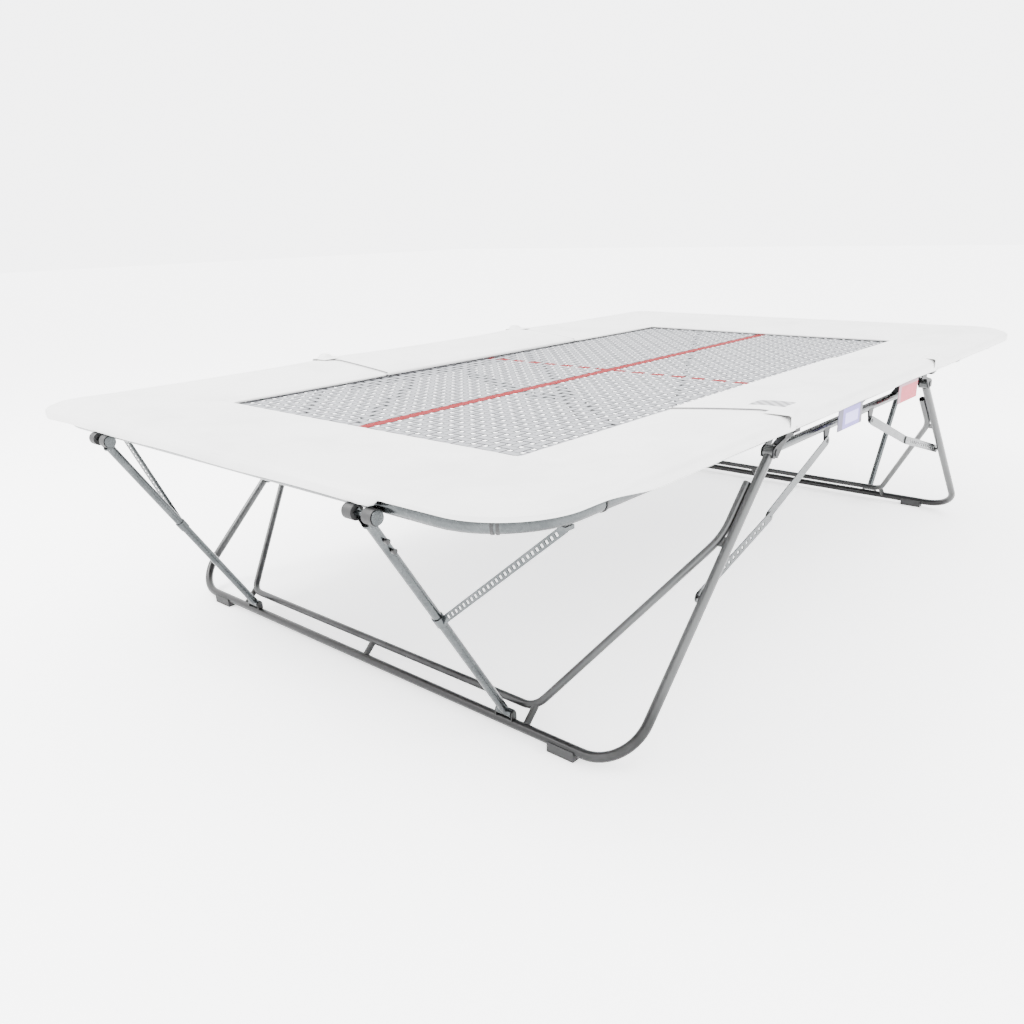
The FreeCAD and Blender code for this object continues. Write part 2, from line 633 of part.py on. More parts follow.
def strut():
    """The strut's tube with the sleeve at its foot and the fork and axle at its head."""
    length = (strut_point(1) - strut_point(0)).Length
    neck = 1 - 42.0 / length
    sleeve = ring_x(STRUT_X - SLEEVE_HALF, STRUT_X + SLEEVE_HALF, -FOOT_Y, STRUT_PIN_Z, SLEEVE_R,
                    STRUT_PIN_R + RUNNING)
    sleeve_room = rod_x(STRUT_X - SLEEVE_HALF, STRUT_X + SLEEVE_HALF, -FOOT_Y, STRUT_PIN_Z, SLEEVE_R)
    tube = rod(strut_point(0), strut_point(neck), STRUT_R).cut(sleeve_room)
    bore = rod(strut_point(24 / length), strut_point(1 - 50 / length), STRUT_R - STRUT_WALL)
    stems = [rod(strut_point(share), strut_point(share) + Vector(STRUT_R + 1, 0, 0), KNOB_STEM_R + 0.3)
             for share in KNOB_SHARES]
    tube = tube.cut(bore)
    for stem in stems:
        tube = tube.cut(stem)
    along = (strut_point(1) - strut_point(0)).normalize()
    across = Vector(1, 0, 0).cross(along)
    corners = [strut_point(1 - 50 / length) + across * 16, strut_point(1 - 50 / length) - across * 16,
               strut_point(1) + along * 11 - across * 13, strut_point(1) + along * 11 + across * 13]
    fused = tube.fuse(sleeve)
    fork_thick = 5.0
    for x_low in (STRUT_X - FORK_HALF - fork_thick, STRUT_X + FORK_HALF):
        moved = [Vector(x_low, corner.y, corner.z) for corner in corners]
        cheek = Part.Face(Part.makePolygon(moved + moved[:1])).extrude(Vector(fork_thick, 0, 0))
        fused = fused.fuse(cheek)
    yoke = rod(strut_point(1 - 46 / length), strut_point(1 - 38 / length), FORK_HALF + fork_thick)
    half = axle_half()
    axle = rod_x(STRUT_X - half, STRUT_X + half, -AXLE_Y, AXLE_Z, AXLE_R)
    for x_low in (STRUT_X - half, STRUT_X + half - 4):
        axle = axle.fuse(rod_x(x_low, x_low + 4, -AXLE_Y, AXLE_Z, ROLLER_R - 3))
    return fused.fuse(yoke).fuse(axle).removeSplitter()


def axle_half():
    return FORK_HALF + 5 + 1 + ROLLER_LENGTH + 1 + 4


def strut_rollers():
    """Two rubber rollers that bear on the outer underside of the end tube."""
    low = FORK_HALF + 6
    return [ring_x(STRUT_X + min(a, b), STRUT_X + max(a, b), -AXLE_Y, AXLE_Z, ROLLER_R, AXLE_R + 0.3)
            for a, b in ((low, low + ROLLER_LENGTH), (-low, -low - ROLLER_LENGTH))]


def strut_brace():
    """A perforated angle from a clamp round the strut out to a rest under the side tube."""
    share = (BRACE_Y - FOOT_Y) / (AXLE_Y - FOOT_Y)
    foot = strut_point(share)
    rest_top = TUBE_Z - MAIN_R - 3.0
    rest = block(SIDE_X - 22, SIDE_X + 6, -BRACE_Y - 22, -BRACE_Y + 22, rest_top - 14, rest_top)
    low = Vector(STRUT_X + STRUT_R - 4, -BRACE_Y, foot.z)
    high = Vector(SIDE_X - 12, -BRACE_Y, rest_top - 10)
    along = (high - low).normalize()
    up = Vector(0, 1, 0).cross(along) * -1
    length = (high - low).Length
    half = BRACE_WIDTH / 2

    def slab(from_u, to_u, from_v, to_v, from_y, to_y):
        corners = [low + along * u + up * v + Vector(0, from_y, 0)
                   for u, v in ((from_u, from_v), (to_u, from_v), (to_u, to_v), (from_u, to_v))]
        return Part.Face(Part.makePolygon(corners + corners[:1])).extrude(Vector(0, to_y - from_y, 0))

    web = slab(0, length, -half, half, -BRACE_THICK / 2, BRACE_THICK / 2)
    count = int((length - 40) / BRACE_PITCH)
    first = (length - (count - 1) * BRACE_PITCH) / 2
    hole = BRACE_HOLE / 2
    for index in range(count):
        place = first + index * BRACE_PITCH
        web = web.cut(slab(place - hole, place + hole, -hole, hole, -BRACE_THICK, BRACE_THICK))
    flange = slab(0, length, half - BRACE_THICK, half, -BRACE_THICK / 2, 14)
    ring_half = 22 / (strut_point(1) - strut_point(0)).Length
    ring = rod(strut_point(share - ring_half), strut_point(share + ring_half), STRUT_R + 4)
    core = rod(strut_point(share - 2 * ring_half), strut_point(share + 2 * ring_half), STRUT_R)
    return web.fuse(flange).fuse(rest).fuse(ring).cut(core).removeSplitter()


def latch_knobs():
    """Two round latch knobs whose stems slide in the strut's wall."""
    knobs = []
    for share in KNOB_SHARES:
        centre = strut_point(share)
        face = centre + Vector(STRUT_R + KNOB_STANDOFF, 0, 0)
        stem = rod(centre + Vector(2, 0, 0), face, KNOB_STEM_R)
        head = rod(face, face + Vector(12, 0, 0), KNOB_R)
        knobs.append(stem.fuse(head).removeSplitter())
    return knobs


# ---------------------------------------------------------------- folding stays
def stay_line():
    """The near stay's lower pin, knuckle and upper pin as (y, z) pairs."""
    tab = on_leg(0, STAY_TAB_U)
    gap = math.hypot(-STAY_ANCHOR_Y - tab.y, STAY_ANCHOR_Z - tab.z)
    across = (-STAY_ANCHOR_Y - tab.y) / gap
    rise = (STAY_ANCHOR_Z - tab.z) / gap
    sag = math.sqrt((gap / 2 + STAY_SLACK) ** 2 - gap ** 2 / 4)
    middle_y = (tab.y - STAY_ANCHOR_Y) / 2
    middle_z = (tab.z + STAY_ANCHOR_Z) / 2
    knuckle = (middle_y + sag * rise, middle_z - sag * across)
    return (tab.y, tab.z), knuckle, (-STAY_ANCHOR_Y, STAY_ANCHOR_Z)


def stay_link(first, last, x_high, bore_at_first, bore_at_last, holes):
    """A flat link with round ends between two pins."""
    x_low = x_high - STAY_THICK
    start = Vector(x_low, *first)
    end = Vector(x_low, *last)
    along = (end - start).normalize()
    across = Vector(1, 0, 0).cross(along) * (STAY_WIDTH / 2)
    corners = [start + across, end + across, end - across, start - across]
    link = Part.Face(Part.makePolygon(corners + corners[:1])).extrude(Vector(STAY_THICK, 0, 0))
    for point in (first, last):
        link = link.fuse(rod_x(x_low, x_high, point[0], point[1], STAY_WIDTH / 2))
    length = (end - start).Length
    count = int(length / STAY_HOLE_PITCH) - 2 if holes else 0
    first_hole = (length - (count - 1) * STAY_HOLE_PITCH) / 2
    hole = STAY_HOLE / 2
    side = Vector(1, 0, 0).cross(along)
    for index in range(count):
        place = start + along * (first_hole + index * STAY_HOLE_PITCH)
        corners = [place + along * u + side * v - Vector(1, 0, 0)
                   for u, v in ((-hole, -hole), (hole, -hole), (hole, hole), (-hole, hole))]
        link = link.cut(Part.Face(Part.makePolygon(corners + corners[:1])).extrude(Vector(STAY_THICK + 2, 0, 0)))
    for point, bore in ((first, bore_at_first), (last, bore_at_last)):
        link = link.cut(rod_x(x_low - 1, x_high + 1, point[0], point[1], bore))
    return link.removeSplitter()


def stay_anchor(link_x):
    """A lug under the rail with the stud that carries the upper stay link."""
    y = -STAY_ANCHOR_Y
    lug = plate_x([(y - 35, RAIL_Z), (y + 35, RAIL_Z), (y + 16, STAY_ANCHOR_Z), (y, STAY_ANCHOR_Z - 16),
                   (y - 16, STAY_ANCHOR_Z)], RAIL_X + RAIL_R - 8, RAIL_X + RAIL_R)
    stud = rod_x(RAIL_X + RAIL_R - 8, link_x + 1.6, y, STAY_ANCHOR_Z, STAY_PIN_R)
    head = rod_x(link_x + 0.3, link_x + 1.6, y, STAY_ANCHOR_Z, STAY_PIN_R + 3)
    return largest(lug.fuse(stud).fuse(head).cut(rail_bar())).removeSplitter()


# ---------------------------------------------------------------- assembly
def build_middle():
    tube = side_tube()
    add("right_side_tube", [tube])
    add("left_side_tube", flip_x([tube]))
    rail = lower_rail()
    add("right_lower_rail", [rail])
    add("left_lower_rail", flip_x([rail]))
    add("rail_end_caps", both_sides([rail_cap()]))
    add("rail_brackets", both_sides(rail_brackets()))
    add("blue_side_plate", [side_plate(BLUE_PLATE_Y)])
    add("red_side_plate", [side_plate(RED_PLATE_Y)])
    cheeks = leg_pivot_brackets()
    add("leg_pivot_brackets", both_sides(cheeks + flip_y(cheeks)))
    pins = [leg_pivot_pin(), hinge_pin()]
    add("hinge_pins", both_sides(pins + flip_y(pins)))
    lugs = [middle_hinge()]
    add("middle_hinge_lugs", both_sides(lugs + flip_y(lugs)))
    add("stay_anchors", both_sides([stay_anchor(NEAR_LINK_X)] + flip_y([stay_anchor(FAR_LINK_X)])))
    seam = 3.0
    add("middle_bed", [bed(-MIDDLE_HALF + seam, MIDDLE_HALF - seam)])
    edge = 20.0
    add("middle_springs", both_sides(side_springs(-MIDDLE_HALF + edge, MIDDLE_HALF - edge)))
    pad = middle_pad(pad_ring())
    add("right_middle_pad", [pad])
    add("left_middle_pad", flip_x([pad]))


def near_end_nodes():
    seam = 3.0
    edge = 20.0
    springs = both_sides(side_springs(-BED_LENGTH / 2 + edge, -MIDDLE_HALF - edge)) + end_springs()
    return {
        "end_tube": [end_tube()],
        "end_hinge_lugs": both_sides([end_hinge()]),
        "tube_collars": both_sides(tube_collars()),
        "end_bed": [bed(-BED_LENGTH / 2, -MIDDLE_HALF - seam)],
        "end_springs": springs,
        "end_pad": [end_pad(pad_ring())],
    }


def near_leg_nodes():
    return {
        "outer_leg": [outer_leg()],
        "inner_leg": [bent_tube(inner_points(), INNER_BENDS, INNER_R, INNER_WALL)],
        "leg_webs": leg_webs(),
        "leg_eyes": both_sides([leg_eye(), stay_stud()]),
        "strut_lugs": both_sides([strut_lugs()]),
        "foot_pads": both_sides([foot_pad()]),
    }


def right_strut_nodes():
    return {
        "strut": [strut()],
        "rollers": strut_rollers(),
        "latch_knobs": latch_knobs(),
    }


def build_ends():
    """Every end piece is made once for the near right and mirrored to its other places."""
    for name, solids in list(near_end_nodes().items()) + list(near_leg_nodes().items()):
        add("near_" + name, solids)
        add("far_" + name, flip_y(solids))
    for name, solids in right_strut_nodes().items():
        add("near_right_" + name, solids)
        add("near_left_" + name, flip_x(solids))
        add("far_right_" + name, flip_y(solids))
        add("far_left_" + name, flip_y(flip_x(solids)))
    brace = strut_brace()
    add("near_right_brace", [brace])
    add("near_left_brace", flip_x([brace]))
    tab, knuckle, anchor = stay_line()
    running = STAY_PIN_R + RUNNING
    rivet = 4.0
    lower = stay_link(tab, knuckle, LOWER_LINK_X, running, rivet, True)
    add("near_lower_stays", both_sides([lower]))
    add("far_lower_stays", both_sides(flip_y([lower])))
    add("near_upper_stays", both_sides([stay_link(anchor, knuckle, NEAR_LINK_X, running, rivet, False)]))
    far_upper = stay_link(anchor, knuckle, FAR_LINK_X, running, rivet, False)
    add("far_upper_stays", both_sides(flip_y([far_upper])))


build_middle()
build_ends()
os.makedirs("parts", exist_ok=True)
for node, solids in parts.items():
    shape = solids[0] if len(solids) == 1 else Part.makeCompound(solids)
    if not shape.isValid():
        print("not valid:", node)
    shape.exportStep("parts/" + node + ".step")
box = Part.makeCompound([solid for solids in parts.values() for solid in solids]).BoundBox
print(len(parts), "nodes; size", round(box.XLength, 1), round(box.YLength, 1), round(box.ZLength, 1))
print("lowest", round(box.ZMin, 2), "stay pins and knuckle", stay_line())
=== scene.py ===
# %% [markdown]
# # A folding competition trampoline, piece by piece
# The steel frame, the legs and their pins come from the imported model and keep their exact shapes.
# Blender adds what such a model can't hold: padded covers, a woven bed, coiled springs and the real
# look of every surface. Each step says what the piece is, how it could be made, and why this way.
#
# X runs across the bed, Y along it and Z up, in metres. The near end is -Y and the floor is z = 0.

# %% Load the frame
import math

import bmesh
import bpy
import numpy as np
from mathutils import Matrix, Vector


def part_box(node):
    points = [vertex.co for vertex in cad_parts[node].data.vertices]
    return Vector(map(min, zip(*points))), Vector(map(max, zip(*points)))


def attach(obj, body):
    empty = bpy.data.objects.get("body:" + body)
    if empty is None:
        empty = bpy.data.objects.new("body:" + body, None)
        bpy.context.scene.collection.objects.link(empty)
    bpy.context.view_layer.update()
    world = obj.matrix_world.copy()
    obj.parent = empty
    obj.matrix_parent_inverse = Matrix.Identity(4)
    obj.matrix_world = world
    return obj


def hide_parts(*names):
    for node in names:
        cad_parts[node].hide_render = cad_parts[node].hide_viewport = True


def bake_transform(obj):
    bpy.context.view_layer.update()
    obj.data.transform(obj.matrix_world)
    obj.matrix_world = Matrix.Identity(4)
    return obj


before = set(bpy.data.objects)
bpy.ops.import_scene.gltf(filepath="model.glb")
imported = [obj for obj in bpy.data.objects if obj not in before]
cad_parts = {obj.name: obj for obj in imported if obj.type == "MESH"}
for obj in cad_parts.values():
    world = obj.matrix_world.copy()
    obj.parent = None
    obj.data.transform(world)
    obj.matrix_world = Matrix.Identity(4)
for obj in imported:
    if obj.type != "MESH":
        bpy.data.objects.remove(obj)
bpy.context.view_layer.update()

scene = bpy.context.scene

# %% [markdown]
# ## Where things are
# Most places are read from the model, so the new pieces follow it if the model changes; the rest are given
# as numbers. A box gives the lowest and highest corner of one node.


# %% Places read from the frame
def box(name):
    """The node's lowest and highest corner as two arrays."""
    low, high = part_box(name)
    return np.array(low), np.array(high)


PAD_LOW, PAD_HIGH = box("near_end_pad")
PAD_X = PAD_HIGH[0]
PAD_Y = -PAD_LOW[1]
PAD_TOP = PAD_HIGH[2]
OPENING_X = box("right_middle_pad")[0][0]
OPENING_Y = 1.931          # half length of the opening, which no box gives
HINGE_Y = 0.9              # from the middle to each hinge line
PAD_THICK = 0.030
SLOPE_DROP = 0.038         # the pads' top falls this much towards the opening
BED_TO_PAD = 0.009         # from the middle of the webbing up to the pads' inner edge
PAD_UNDER = PAD_TOP - PAD_THICK
BED_X = box("middle_bed")[1][0]
BED_Y = box("far_end_bed")[1][1]
BED_Z = float(np.mean([box("middle_bed")[0][2], box("middle_bed")[1][2]]))
SIDE_TUBE_X = float(np.mean([box("right_side_tube")[0][0], box("right_side_tube")[1][0]]))
EDGE_UNDER = BED_Z + BED_TO_PAD
print("pads reach", PAD_X, PAD_Y, PAD_TOP, "bed", BED_X, BED_Y, BED_Z, "side tube", SIDE_TUBE_X)

# %% [markdown]
# ## From numbers to a mesh
# Most pieces here are a closed outline carried along a path: a webbing strap, a spring wire, a padded
# cover. So one helper takes an array of outlines, station after station, and joins neighbours with
# four-sided faces. Whole arrays are handled at once, and several copies of a shape go in one call.


# %% Outlines carried along a path
def carried(name, outlines, along=None, smooth_below=35, finish_of_copy=None):
    """Copies x stations x outline points x 3 numbers become one mesh of closed skins.

    Point j of station i is joined to point j of station i + 1, the outline's last point joins its
    first, and each end is closed by one face. The UV map holds the distance along the path and the
    distance round the outline, in metres, so a weave drawn on it has its real size.
    """
    outlines = np.asarray(outlines, float)
    copies, stations, ring = outlines.shape[:3]
    number = np.arange(copies * stations * ring).reshape(copies, stations, ring)
    here, ahead = number[:, :-1], number[:, 1:]
    quads = np.stack([here, ahead, np.roll(ahead, -1, axis=2), np.roll(here, -1, axis=2)], axis=-1)
    caps = np.stack([number[:, 0, ::-1], number[:, -1, :]], axis=1)

    if along is None:
        centre = outlines.mean(axis=2)
        step = np.linalg.norm(np.diff(centre, axis=1), axis=2)
        along = np.concatenate([np.zeros((copies, 1)), np.cumsum(step, axis=1)], axis=1)
    around_step = np.linalg.norm(np.roll(outlines, -1, axis=2) - outlines, axis=3).mean(axis=(0, 1))
    around = np.concatenate([[0.0], np.cumsum(around_step)])
    u_here, u_ahead = along[:, :-1, None], along[:, 1:, None]
    v_here, v_next = around[None, None, :-1], around[None, None, 1:]
    shape = quads.shape[:3]
    corner_u = np.stack([np.broadcast_to(u, shape) for u in (u_here, u_ahead, u_ahead, u_here)], axis=-1)
    corner_v = np.stack([np.broadcast_to(v, shape) for v in (v_here, v_here, v_next, v_next)], axis=-1)
    quad_uv = np.stack([corner_u, corner_v], axis=-1).reshape(-1, 2)
    cap_uv = np.zeros((caps.size, 2))

    corners = np.concatenate([quads.ravel(), caps.ravel()])
    sizes = np.concatenate([np.full(quads[..., 0].size, 4), np.full(copies * 2, ring)])
    mesh = bpy.data.meshes.new(name)
    mesh.vertices.add(outlines.size // 3)
    mesh.vertices.foreach_set("co", outlines.astype(np.float32).ravel())
    mesh.loops.add(len(corners))
    mesh.loops.foreach_set("vertex_index", corners.astype(np.int32))
    mesh.polygons.add(len(sizes))
    mesh.polygons.foreach_set("loop_start", (np.cumsum(sizes) - sizes).astype(np.int32))
    mesh.update(calc_edges=True)
    layer = mesh.uv_layers.new(name="UVMap")
    layer.data.foreach_set("uv", np.concatenate([quad_uv, cap_uv]).astype(np.float32).ravel())
    if finish_of_copy is not None:
        of_quads = np.repeat(finish_of_copy, (stations - 1) * ring)
        of_caps = np.repeat(finish_of_copy, 2)
        mesh.polygons.foreach_set("material_index", np.concatenate([of_quads, of_caps]).astype(np.int32))
    facing_out(mesh)
    soften(mesh, smooth_below)
    piece = bpy.data.objects.new(name, mesh)
    scene.collection.objects.link(piece)
    return piece


def facing_out(mesh):
    """Turns every closed skin's faces outwards."""
    work = bmesh.new()
    work.from_mesh(mesh)
    bmesh.ops.recalc_face_normals(work, faces=work.faces)
    work.to_mesh(mesh)
    work.free()


def soften(mesh, below):
    """Smooth shading, with a crisp line where two faces meet at more than this many degrees."""
    mesh.polygons.foreach_set("use_smooth", np.ones(len(mesh.polygons), bool))
    mesh.set_sharp_from_angle(angle=math.radians(below))
    mesh.update()


def circle(radius, points):
    """Points round a circle: cosine across, sine up."""
    angle = np.linspace(0, 2 * np.pi, points, endpoint=False)
    return radius * np.cos(angle), radius * np.sin(angle)


def joined(name, pieces):
    """Several pieces made one, so that they count and ride as one."""
    with bpy.context.temp_override(active_object=pieces[0], selected_editable_objects=pieces,
                                   selected_objects=pieces):
        bpy.ops.object.join()
    pieces[0].name = name
    return pieces[0]


def triangles(piece):
    return sum(len(face.vertices) - 2 for face in piece.data.polygons)


print("mesh helpers ready")

# %% [markdown]
# ## Adding nodes to a material
# A material is a small graph. One function adds a node, sets it and links it, so each material below
# reads as a list of what it is made of. Colours are the usual web values, turned to linear light once.


# %% Colours and nodes
def linear(web_colour):
    """A #rrggbb colour as linear light: divided by 12.92 under 0.04045, and a 2.4 power above it."""
    value = np.array([int(web_colour[i:i + 2], 16) for i in (1, 3, 5)]) / 255
    value = np.where(value <= 0.04045, value / 12.92, ((value + 0.055) / 1.055) ** 2.4)
    return (*value.tolist(), 1.0)


def node(tree, kind, settings=(), links=()):
    """A node of that kind, with its settings and with links into its sockets."""
    made = tree.nodes.new(kind)
    for key, value in dict(settings).items():
        if isinstance(key, int) or key in made.inputs:
            made.inputs[key].default_value = value
        else:
            setattr(made, key, value)
    for key, source in dict(links).items():
        tree.links.new(source, made.inputs[key])
    return made


def start_material(name, colour, metallic, roughness, **more):
    """A material with its main shader; the constants sit on the shader's own sockets."""
    material = bpy.data.materials.new(name)
    material.use_nodes = True
    shader = material.node_tree.nodes["Principled BSDF"]
    shader.inputs["Base Color"].default_value = linear(colour)
    shader.inputs["Metallic"].default_value = metallic
    shader.inputs["Roughness"].default_value = roughness
    for key, value in more.items():
        shader.inputs[key.replace("_", " ").title()].default_value = value
    material.diffuse_color = linear(colour)
    return material, material.node_tree, shader


def mix_colours(tree, amount, first, second):
    """Colour between two web colours or sockets, by an amount from 0 to 1."""
    made = node(tree, "ShaderNodeMix", {"data_type": "RGBA"}, {0: amount})
    for place, colour in ((6, first), (7, second)):
        if isinstance(colour, str):
            made.inputs[place].default_value = linear(colour)
        else:
            tree.links.new(colour, made.inputs[place])
    return made.outputs[2]


def spread(tree, value, low, high, to_low, to_high):
    """A value between low and high, stretched to lie between two others."""
    made = node(tree, "ShaderNodeMapRange",
                {"From Min": low, "From Max": high, "To Min": to_low, "To Max": to_high}, {"Value": value})
    return made.outputs["Result"]


def inside(tree, value, low, high, soft=0.002):
    """1 where a value lies between low and high and 0 elsewhere, with a soft edge."""
    rise = spread(tree, value, low - soft, low + soft, 0.0, 1.0)
    fall = spread(tree, value, high - soft, high + soft, 1.0, 0.0)
    return node(tree, "ShaderNodeMath", {"operation": "MULTIPLY"}, {0: rise, 1: fall}).outputs[0]


def patch(tree, axes, spans):
    """1 inside a rectangle of the piece's own frame; axes are two of X, Y and Z."""
    place = node(tree, "ShaderNodeTexCoord").outputs["Object"]
    split = node(tree, "ShaderNodeSeparateXYZ", {}, {"Vector": place})
    both = [inside(tree, split.outputs[axis], *span) for axis, span in zip(axes, spans)]
    return node(tree, "ShaderNodeMath", {"operation": "MULTIPLY"}, {0: both[0], 1: both[1]}).outputs[0]


def noise(tree, size, detail=2.0, roughness=0.5, stretch=(1, 1, 1)):
    """Cloudy noise whose lumps are about size metres across, in the piece's own frame."""
    place = node(tree, "ShaderNodeTexCoord").outputs["Object"]
    mapped = node(tree, "ShaderNodeMapping", {"Scale": stretch}, {"Vector": place}).outputs["Vector"]
    made = node(tree, "ShaderNodeTexNoise", {"Scale": 1 / size, "Detail": detail, "Roughness": roughness},
                {"Vector": mapped})
    return made.outputs["Fac"]


def bump(tree, shader, height, depth, strength=1.0):
    """Raises the surface by height x depth metres, in shading only."""
    made = node(tree, "ShaderNodeBump", {"Distance": depth, "Strength": strength}, {"Height": height})
    tree.links.new(made.outputs["Normal"], shader.inputs["Normal"])


print("white is", linear("#ffffff"))

# %% [markdown]
# ## Steel that has been dipped in zinc
# The frame's tubes are hot-dip galvanised: the zinc freezes in flat crystals a centimetre or so wide,
# each a slightly different grey and gloss. A Voronoi cell per crystal gives that, with fine noise for
# the dull bloom over it. The tubes are softly shiny, not mirror-like.


# %% Galvanised steel
def galvanised(name, dark, light, roughness, crystal=0.008):
    """Zinc crystals: each Voronoi cell has its own grey and gloss, under a cloudy bloom."""
    material, tree, shader = start_material(name, dark, 1.0, roughness)
    place = node(tree, "ShaderNodeTexCoord").outputs["Object"]
    cells = node(tree, "ShaderNodeTexVoronoi", {"Scale": 1 / crystal}, {"Vector": place})
    grey = node(tree, "ShaderNodeSeparateColor", {}, {"Color": cells.outputs["Color"]}).outputs["Red"]
    bloom = noise(tree, 0.09, 4.0)
    both = node(tree, "ShaderNodeMath", {"operation": "MULTIPLY_ADD", 1: 0.22},
                {0: grey, 2: bloom}).outputs[0]
    amount = spread(tree, both, 0.40, 0.85, 0.0, 1.0)
    tree.links.new(mix_colours(tree, amount, dark, light), shader.inputs["Base Color"])
    gloss = spread(tree, grey, 0.0, 1.0, roughness - 0.03, roughness + 0.04)
    tree.links.new(gloss, shader.inputs["Roughness"])
    bump(tree, shader, noise(tree, 0.004, 3.0), 0.0002, 0.3)
    return material


GALVANISED = galvanised("hot_dip_galvanised_steel", "#404344", "#505354", 0.25)
print("made", GALVANISED.name)

# %% [markdown]
# ## Painted leg steel
# The leg frames are sprayed with a grey metallic enamel. Its colour is darker towards the floor as painted
# shade, standing in for the shadow on the low bars, so the colour changes slowly with height as well as in
# small clouds.


# %% Grey enamelled steel
def leg_enamel():
    material, tree, shader = start_material("grey_metallic_enamel", "#6a6a68", 0.75, 0.34,
                                            coat_weight=0.15, coat_roughness=0.25)
    place = node(tree, "ShaderNodeTexCoord").outputs["Object"]
    height = node(tree, "ShaderNodeSeparateXYZ", {}, {"Vector": place}).outputs["Z"]
    clouds = noise(tree, 0.18, 5.0)
    # painted shade: the colour grows lighter with height, so the low bars are painted dark as if in shadow
    clouds_and_painted_shade = node(tree, "ShaderNodeMath", {"operation": "MULTIPLY_ADD", 1: 0.35},
                   {0: clouds, 2: height}).outputs[0]
    amount = spread(tree, clouds_and_painted_shade, 0.25, 0.62, 0.0, 1.0)
    tree.links.new(mix_colours(tree, amount, "#1a1a1a", "#4c4d4d"), shader.inputs["Base Color"])
    tree.links.new(spread(tree, clouds, 0.3, 0.7, 0.28, 0.38), shader.inputs["Roughness"])
    bump(tree, shader, noise(tree, 0.003, 2.0), 0.0003, 0.4)
    return material


LEG_ENAMEL = leg_enamel()
print("made", LEG_ENAMEL.name)


# %% [markdown]
# ## Small hardware
# Brackets, lugs and pins are steel with a dark oxide finish, springs are drawn wire, and the two side
# plates are painted sheet. Each gets fine scratches or grain at its own scale. Rubber and moulded nylon
# are not metals: their gloss comes from the default IOR alone.


# %% Hardware finishes
def brushed(name, dark, light, roughness, grain=0.0015, stretch=(1, 1, 1), metallic=1.0):
    """Metal with a fine grain: stretched noise moves the colour and the gloss together."""
    material, tree, shader = start_material(name, dark, metallic, roughness)
    lines = noise(tree, grain, 3.0, stretch=stretch)
    clouds = noise(tree, 0.05, 3.0)
    both = node(tree, "ShaderNodeMath", {"operation": "MULTIPLY"}, {0: lines, 1: clouds}).outputs[0]
    amount = spread(tree, both, 0.12, 0.38, 0.0, 1.0)
    tree.links.new(mix_colours(tree, amount, dark, light), shader.inputs["Base Color"])
    gloss = spread(tree, lines, 0.3, 0.7, roughness - 0.05, roughness + 0.07)
    tree.links.new(gloss, shader.inputs["Roughness"])
    bump(tree, shader, lines, 0.0002, 0.3)
    return material


def moulded(name, dark, light, roughness, grain):
    """Rubber or nylon with a pebbled mould texture and dust that lightens it in patches."""
    material, tree, shader = start_material(name, dark, 0.0, roughness)
    dust = noise(tree, 0.03, 4.0)
    tree.links.new(mix_colours(tree, spread(tree, dust, 0.4, 0.75, 0.0, 1.0), dark, light),
                   shader.inputs["Base Color"])
    gloss = spread(tree, dust, 0.3, 0.7, roughness - 0.05, roughness + 0.1)
    tree.links.new(gloss, shader.inputs["Roughness"])
    bump(tree, shader, noise(tree, grain, 2.0), 0.0006, 0.6)
    return material


def painted(name, colour, worn, roughness, marks=()):
    """Sheet metal with sprayed paint: a faint orange-peel bump, slow colour clouds, plain colour fields."""
    material, tree, shader = start_material(name, colour, 0.0, roughness,
                                            coat_weight=0.05, coat_roughness=0.3)
    shader.inputs["Specular IOR Level"].default_value = 0.25
    clouds = noise(tree, 0.06, 3.0)
    shade = mix_colours(tree, spread(tree, clouds, 0.35, 0.7, 0.0, 1.0), colour, worn)
    for spans, field in marks:
        shade = mix_colours(tree, patch(tree, "YZ", spans), shade, field)
    tree.links.new(shade, shader.inputs["Base Color"])
    bump(tree, shader, noise(tree, 0.002, 1.0), 0.0002, 0.4)
    return material


OXIDE_STEEL = brushed("dark_oxide_steel", "#121314", "#2a2b2c", 0.42)
SPRING_WIRE = brushed("drawn_spring_wire", "#46484a", "#6c6e70", 0.30)
RUBBER = moulded("black_rubber", "#070708", "#151516", 0.62, 0.004)
NYLON = moulded("black_nylon", "#08080a", "#18191b", 0.38, 0.002)
BLUE_LOW, BLUE_HIGH = box("blue_side_plate")
RED_LOW, RED_HIGH = box("red_side_plate")
PLATE_HEIGHT = (0.9, 1.2)          # spans that reach past a plate's edges cover its whole side
LILAC_PAINT = painted("lilac_paint", "#665a9f", "#6f64a8", 0.42, [
    (((BLUE_LOW[1] - 0.01, BLUE_LOW[1] + 0.055), PLATE_HEIGHT), "#454157"),
    (((BLUE_HIGH[1] - 0.030, BLUE_HIGH[1] + 0.01), PLATE_HEIGHT), "#55525f"),
    (((BLUE_LOW[1] + 0.085, BLUE_HIGH[1] - 0.050),
      (BLUE_LOW[2] + 0.022, BLUE_HIGH[2] - 0.026)), "#a29bd0")])
PINK_PAINT = painted("pink_red_paint", "#98102e", "#a21a38", 0.42, [
    (((RED_LOW[1] - 0.01, RED_LOW[1] + 0.035), PLATE_HEIGHT), "#86606c"),
    (((-9, 9), (RED_HIGH[2] - 0.014, 1.2)), "#86606c")])
print("made six small finishes")

# %% [markdown]
# ## Coated cover cloth
# The pads are covered in white PVC-coated polyester. Up close the weave of the carrier cloth shows
# through as a faint grain, and the surface is soft-glossy, a little dirty in large faint clouds.
# The grain is drawn 5 mm wide, coarser than the real 1 mm, which is the least that shows at this size.


# %% White cover cloth
CLOTH_GRAIN = 0.005
TAPE_RIBS = 0.012
TAPE_PATCH = ((1.31, 1.48), (-0.83, -0.72))


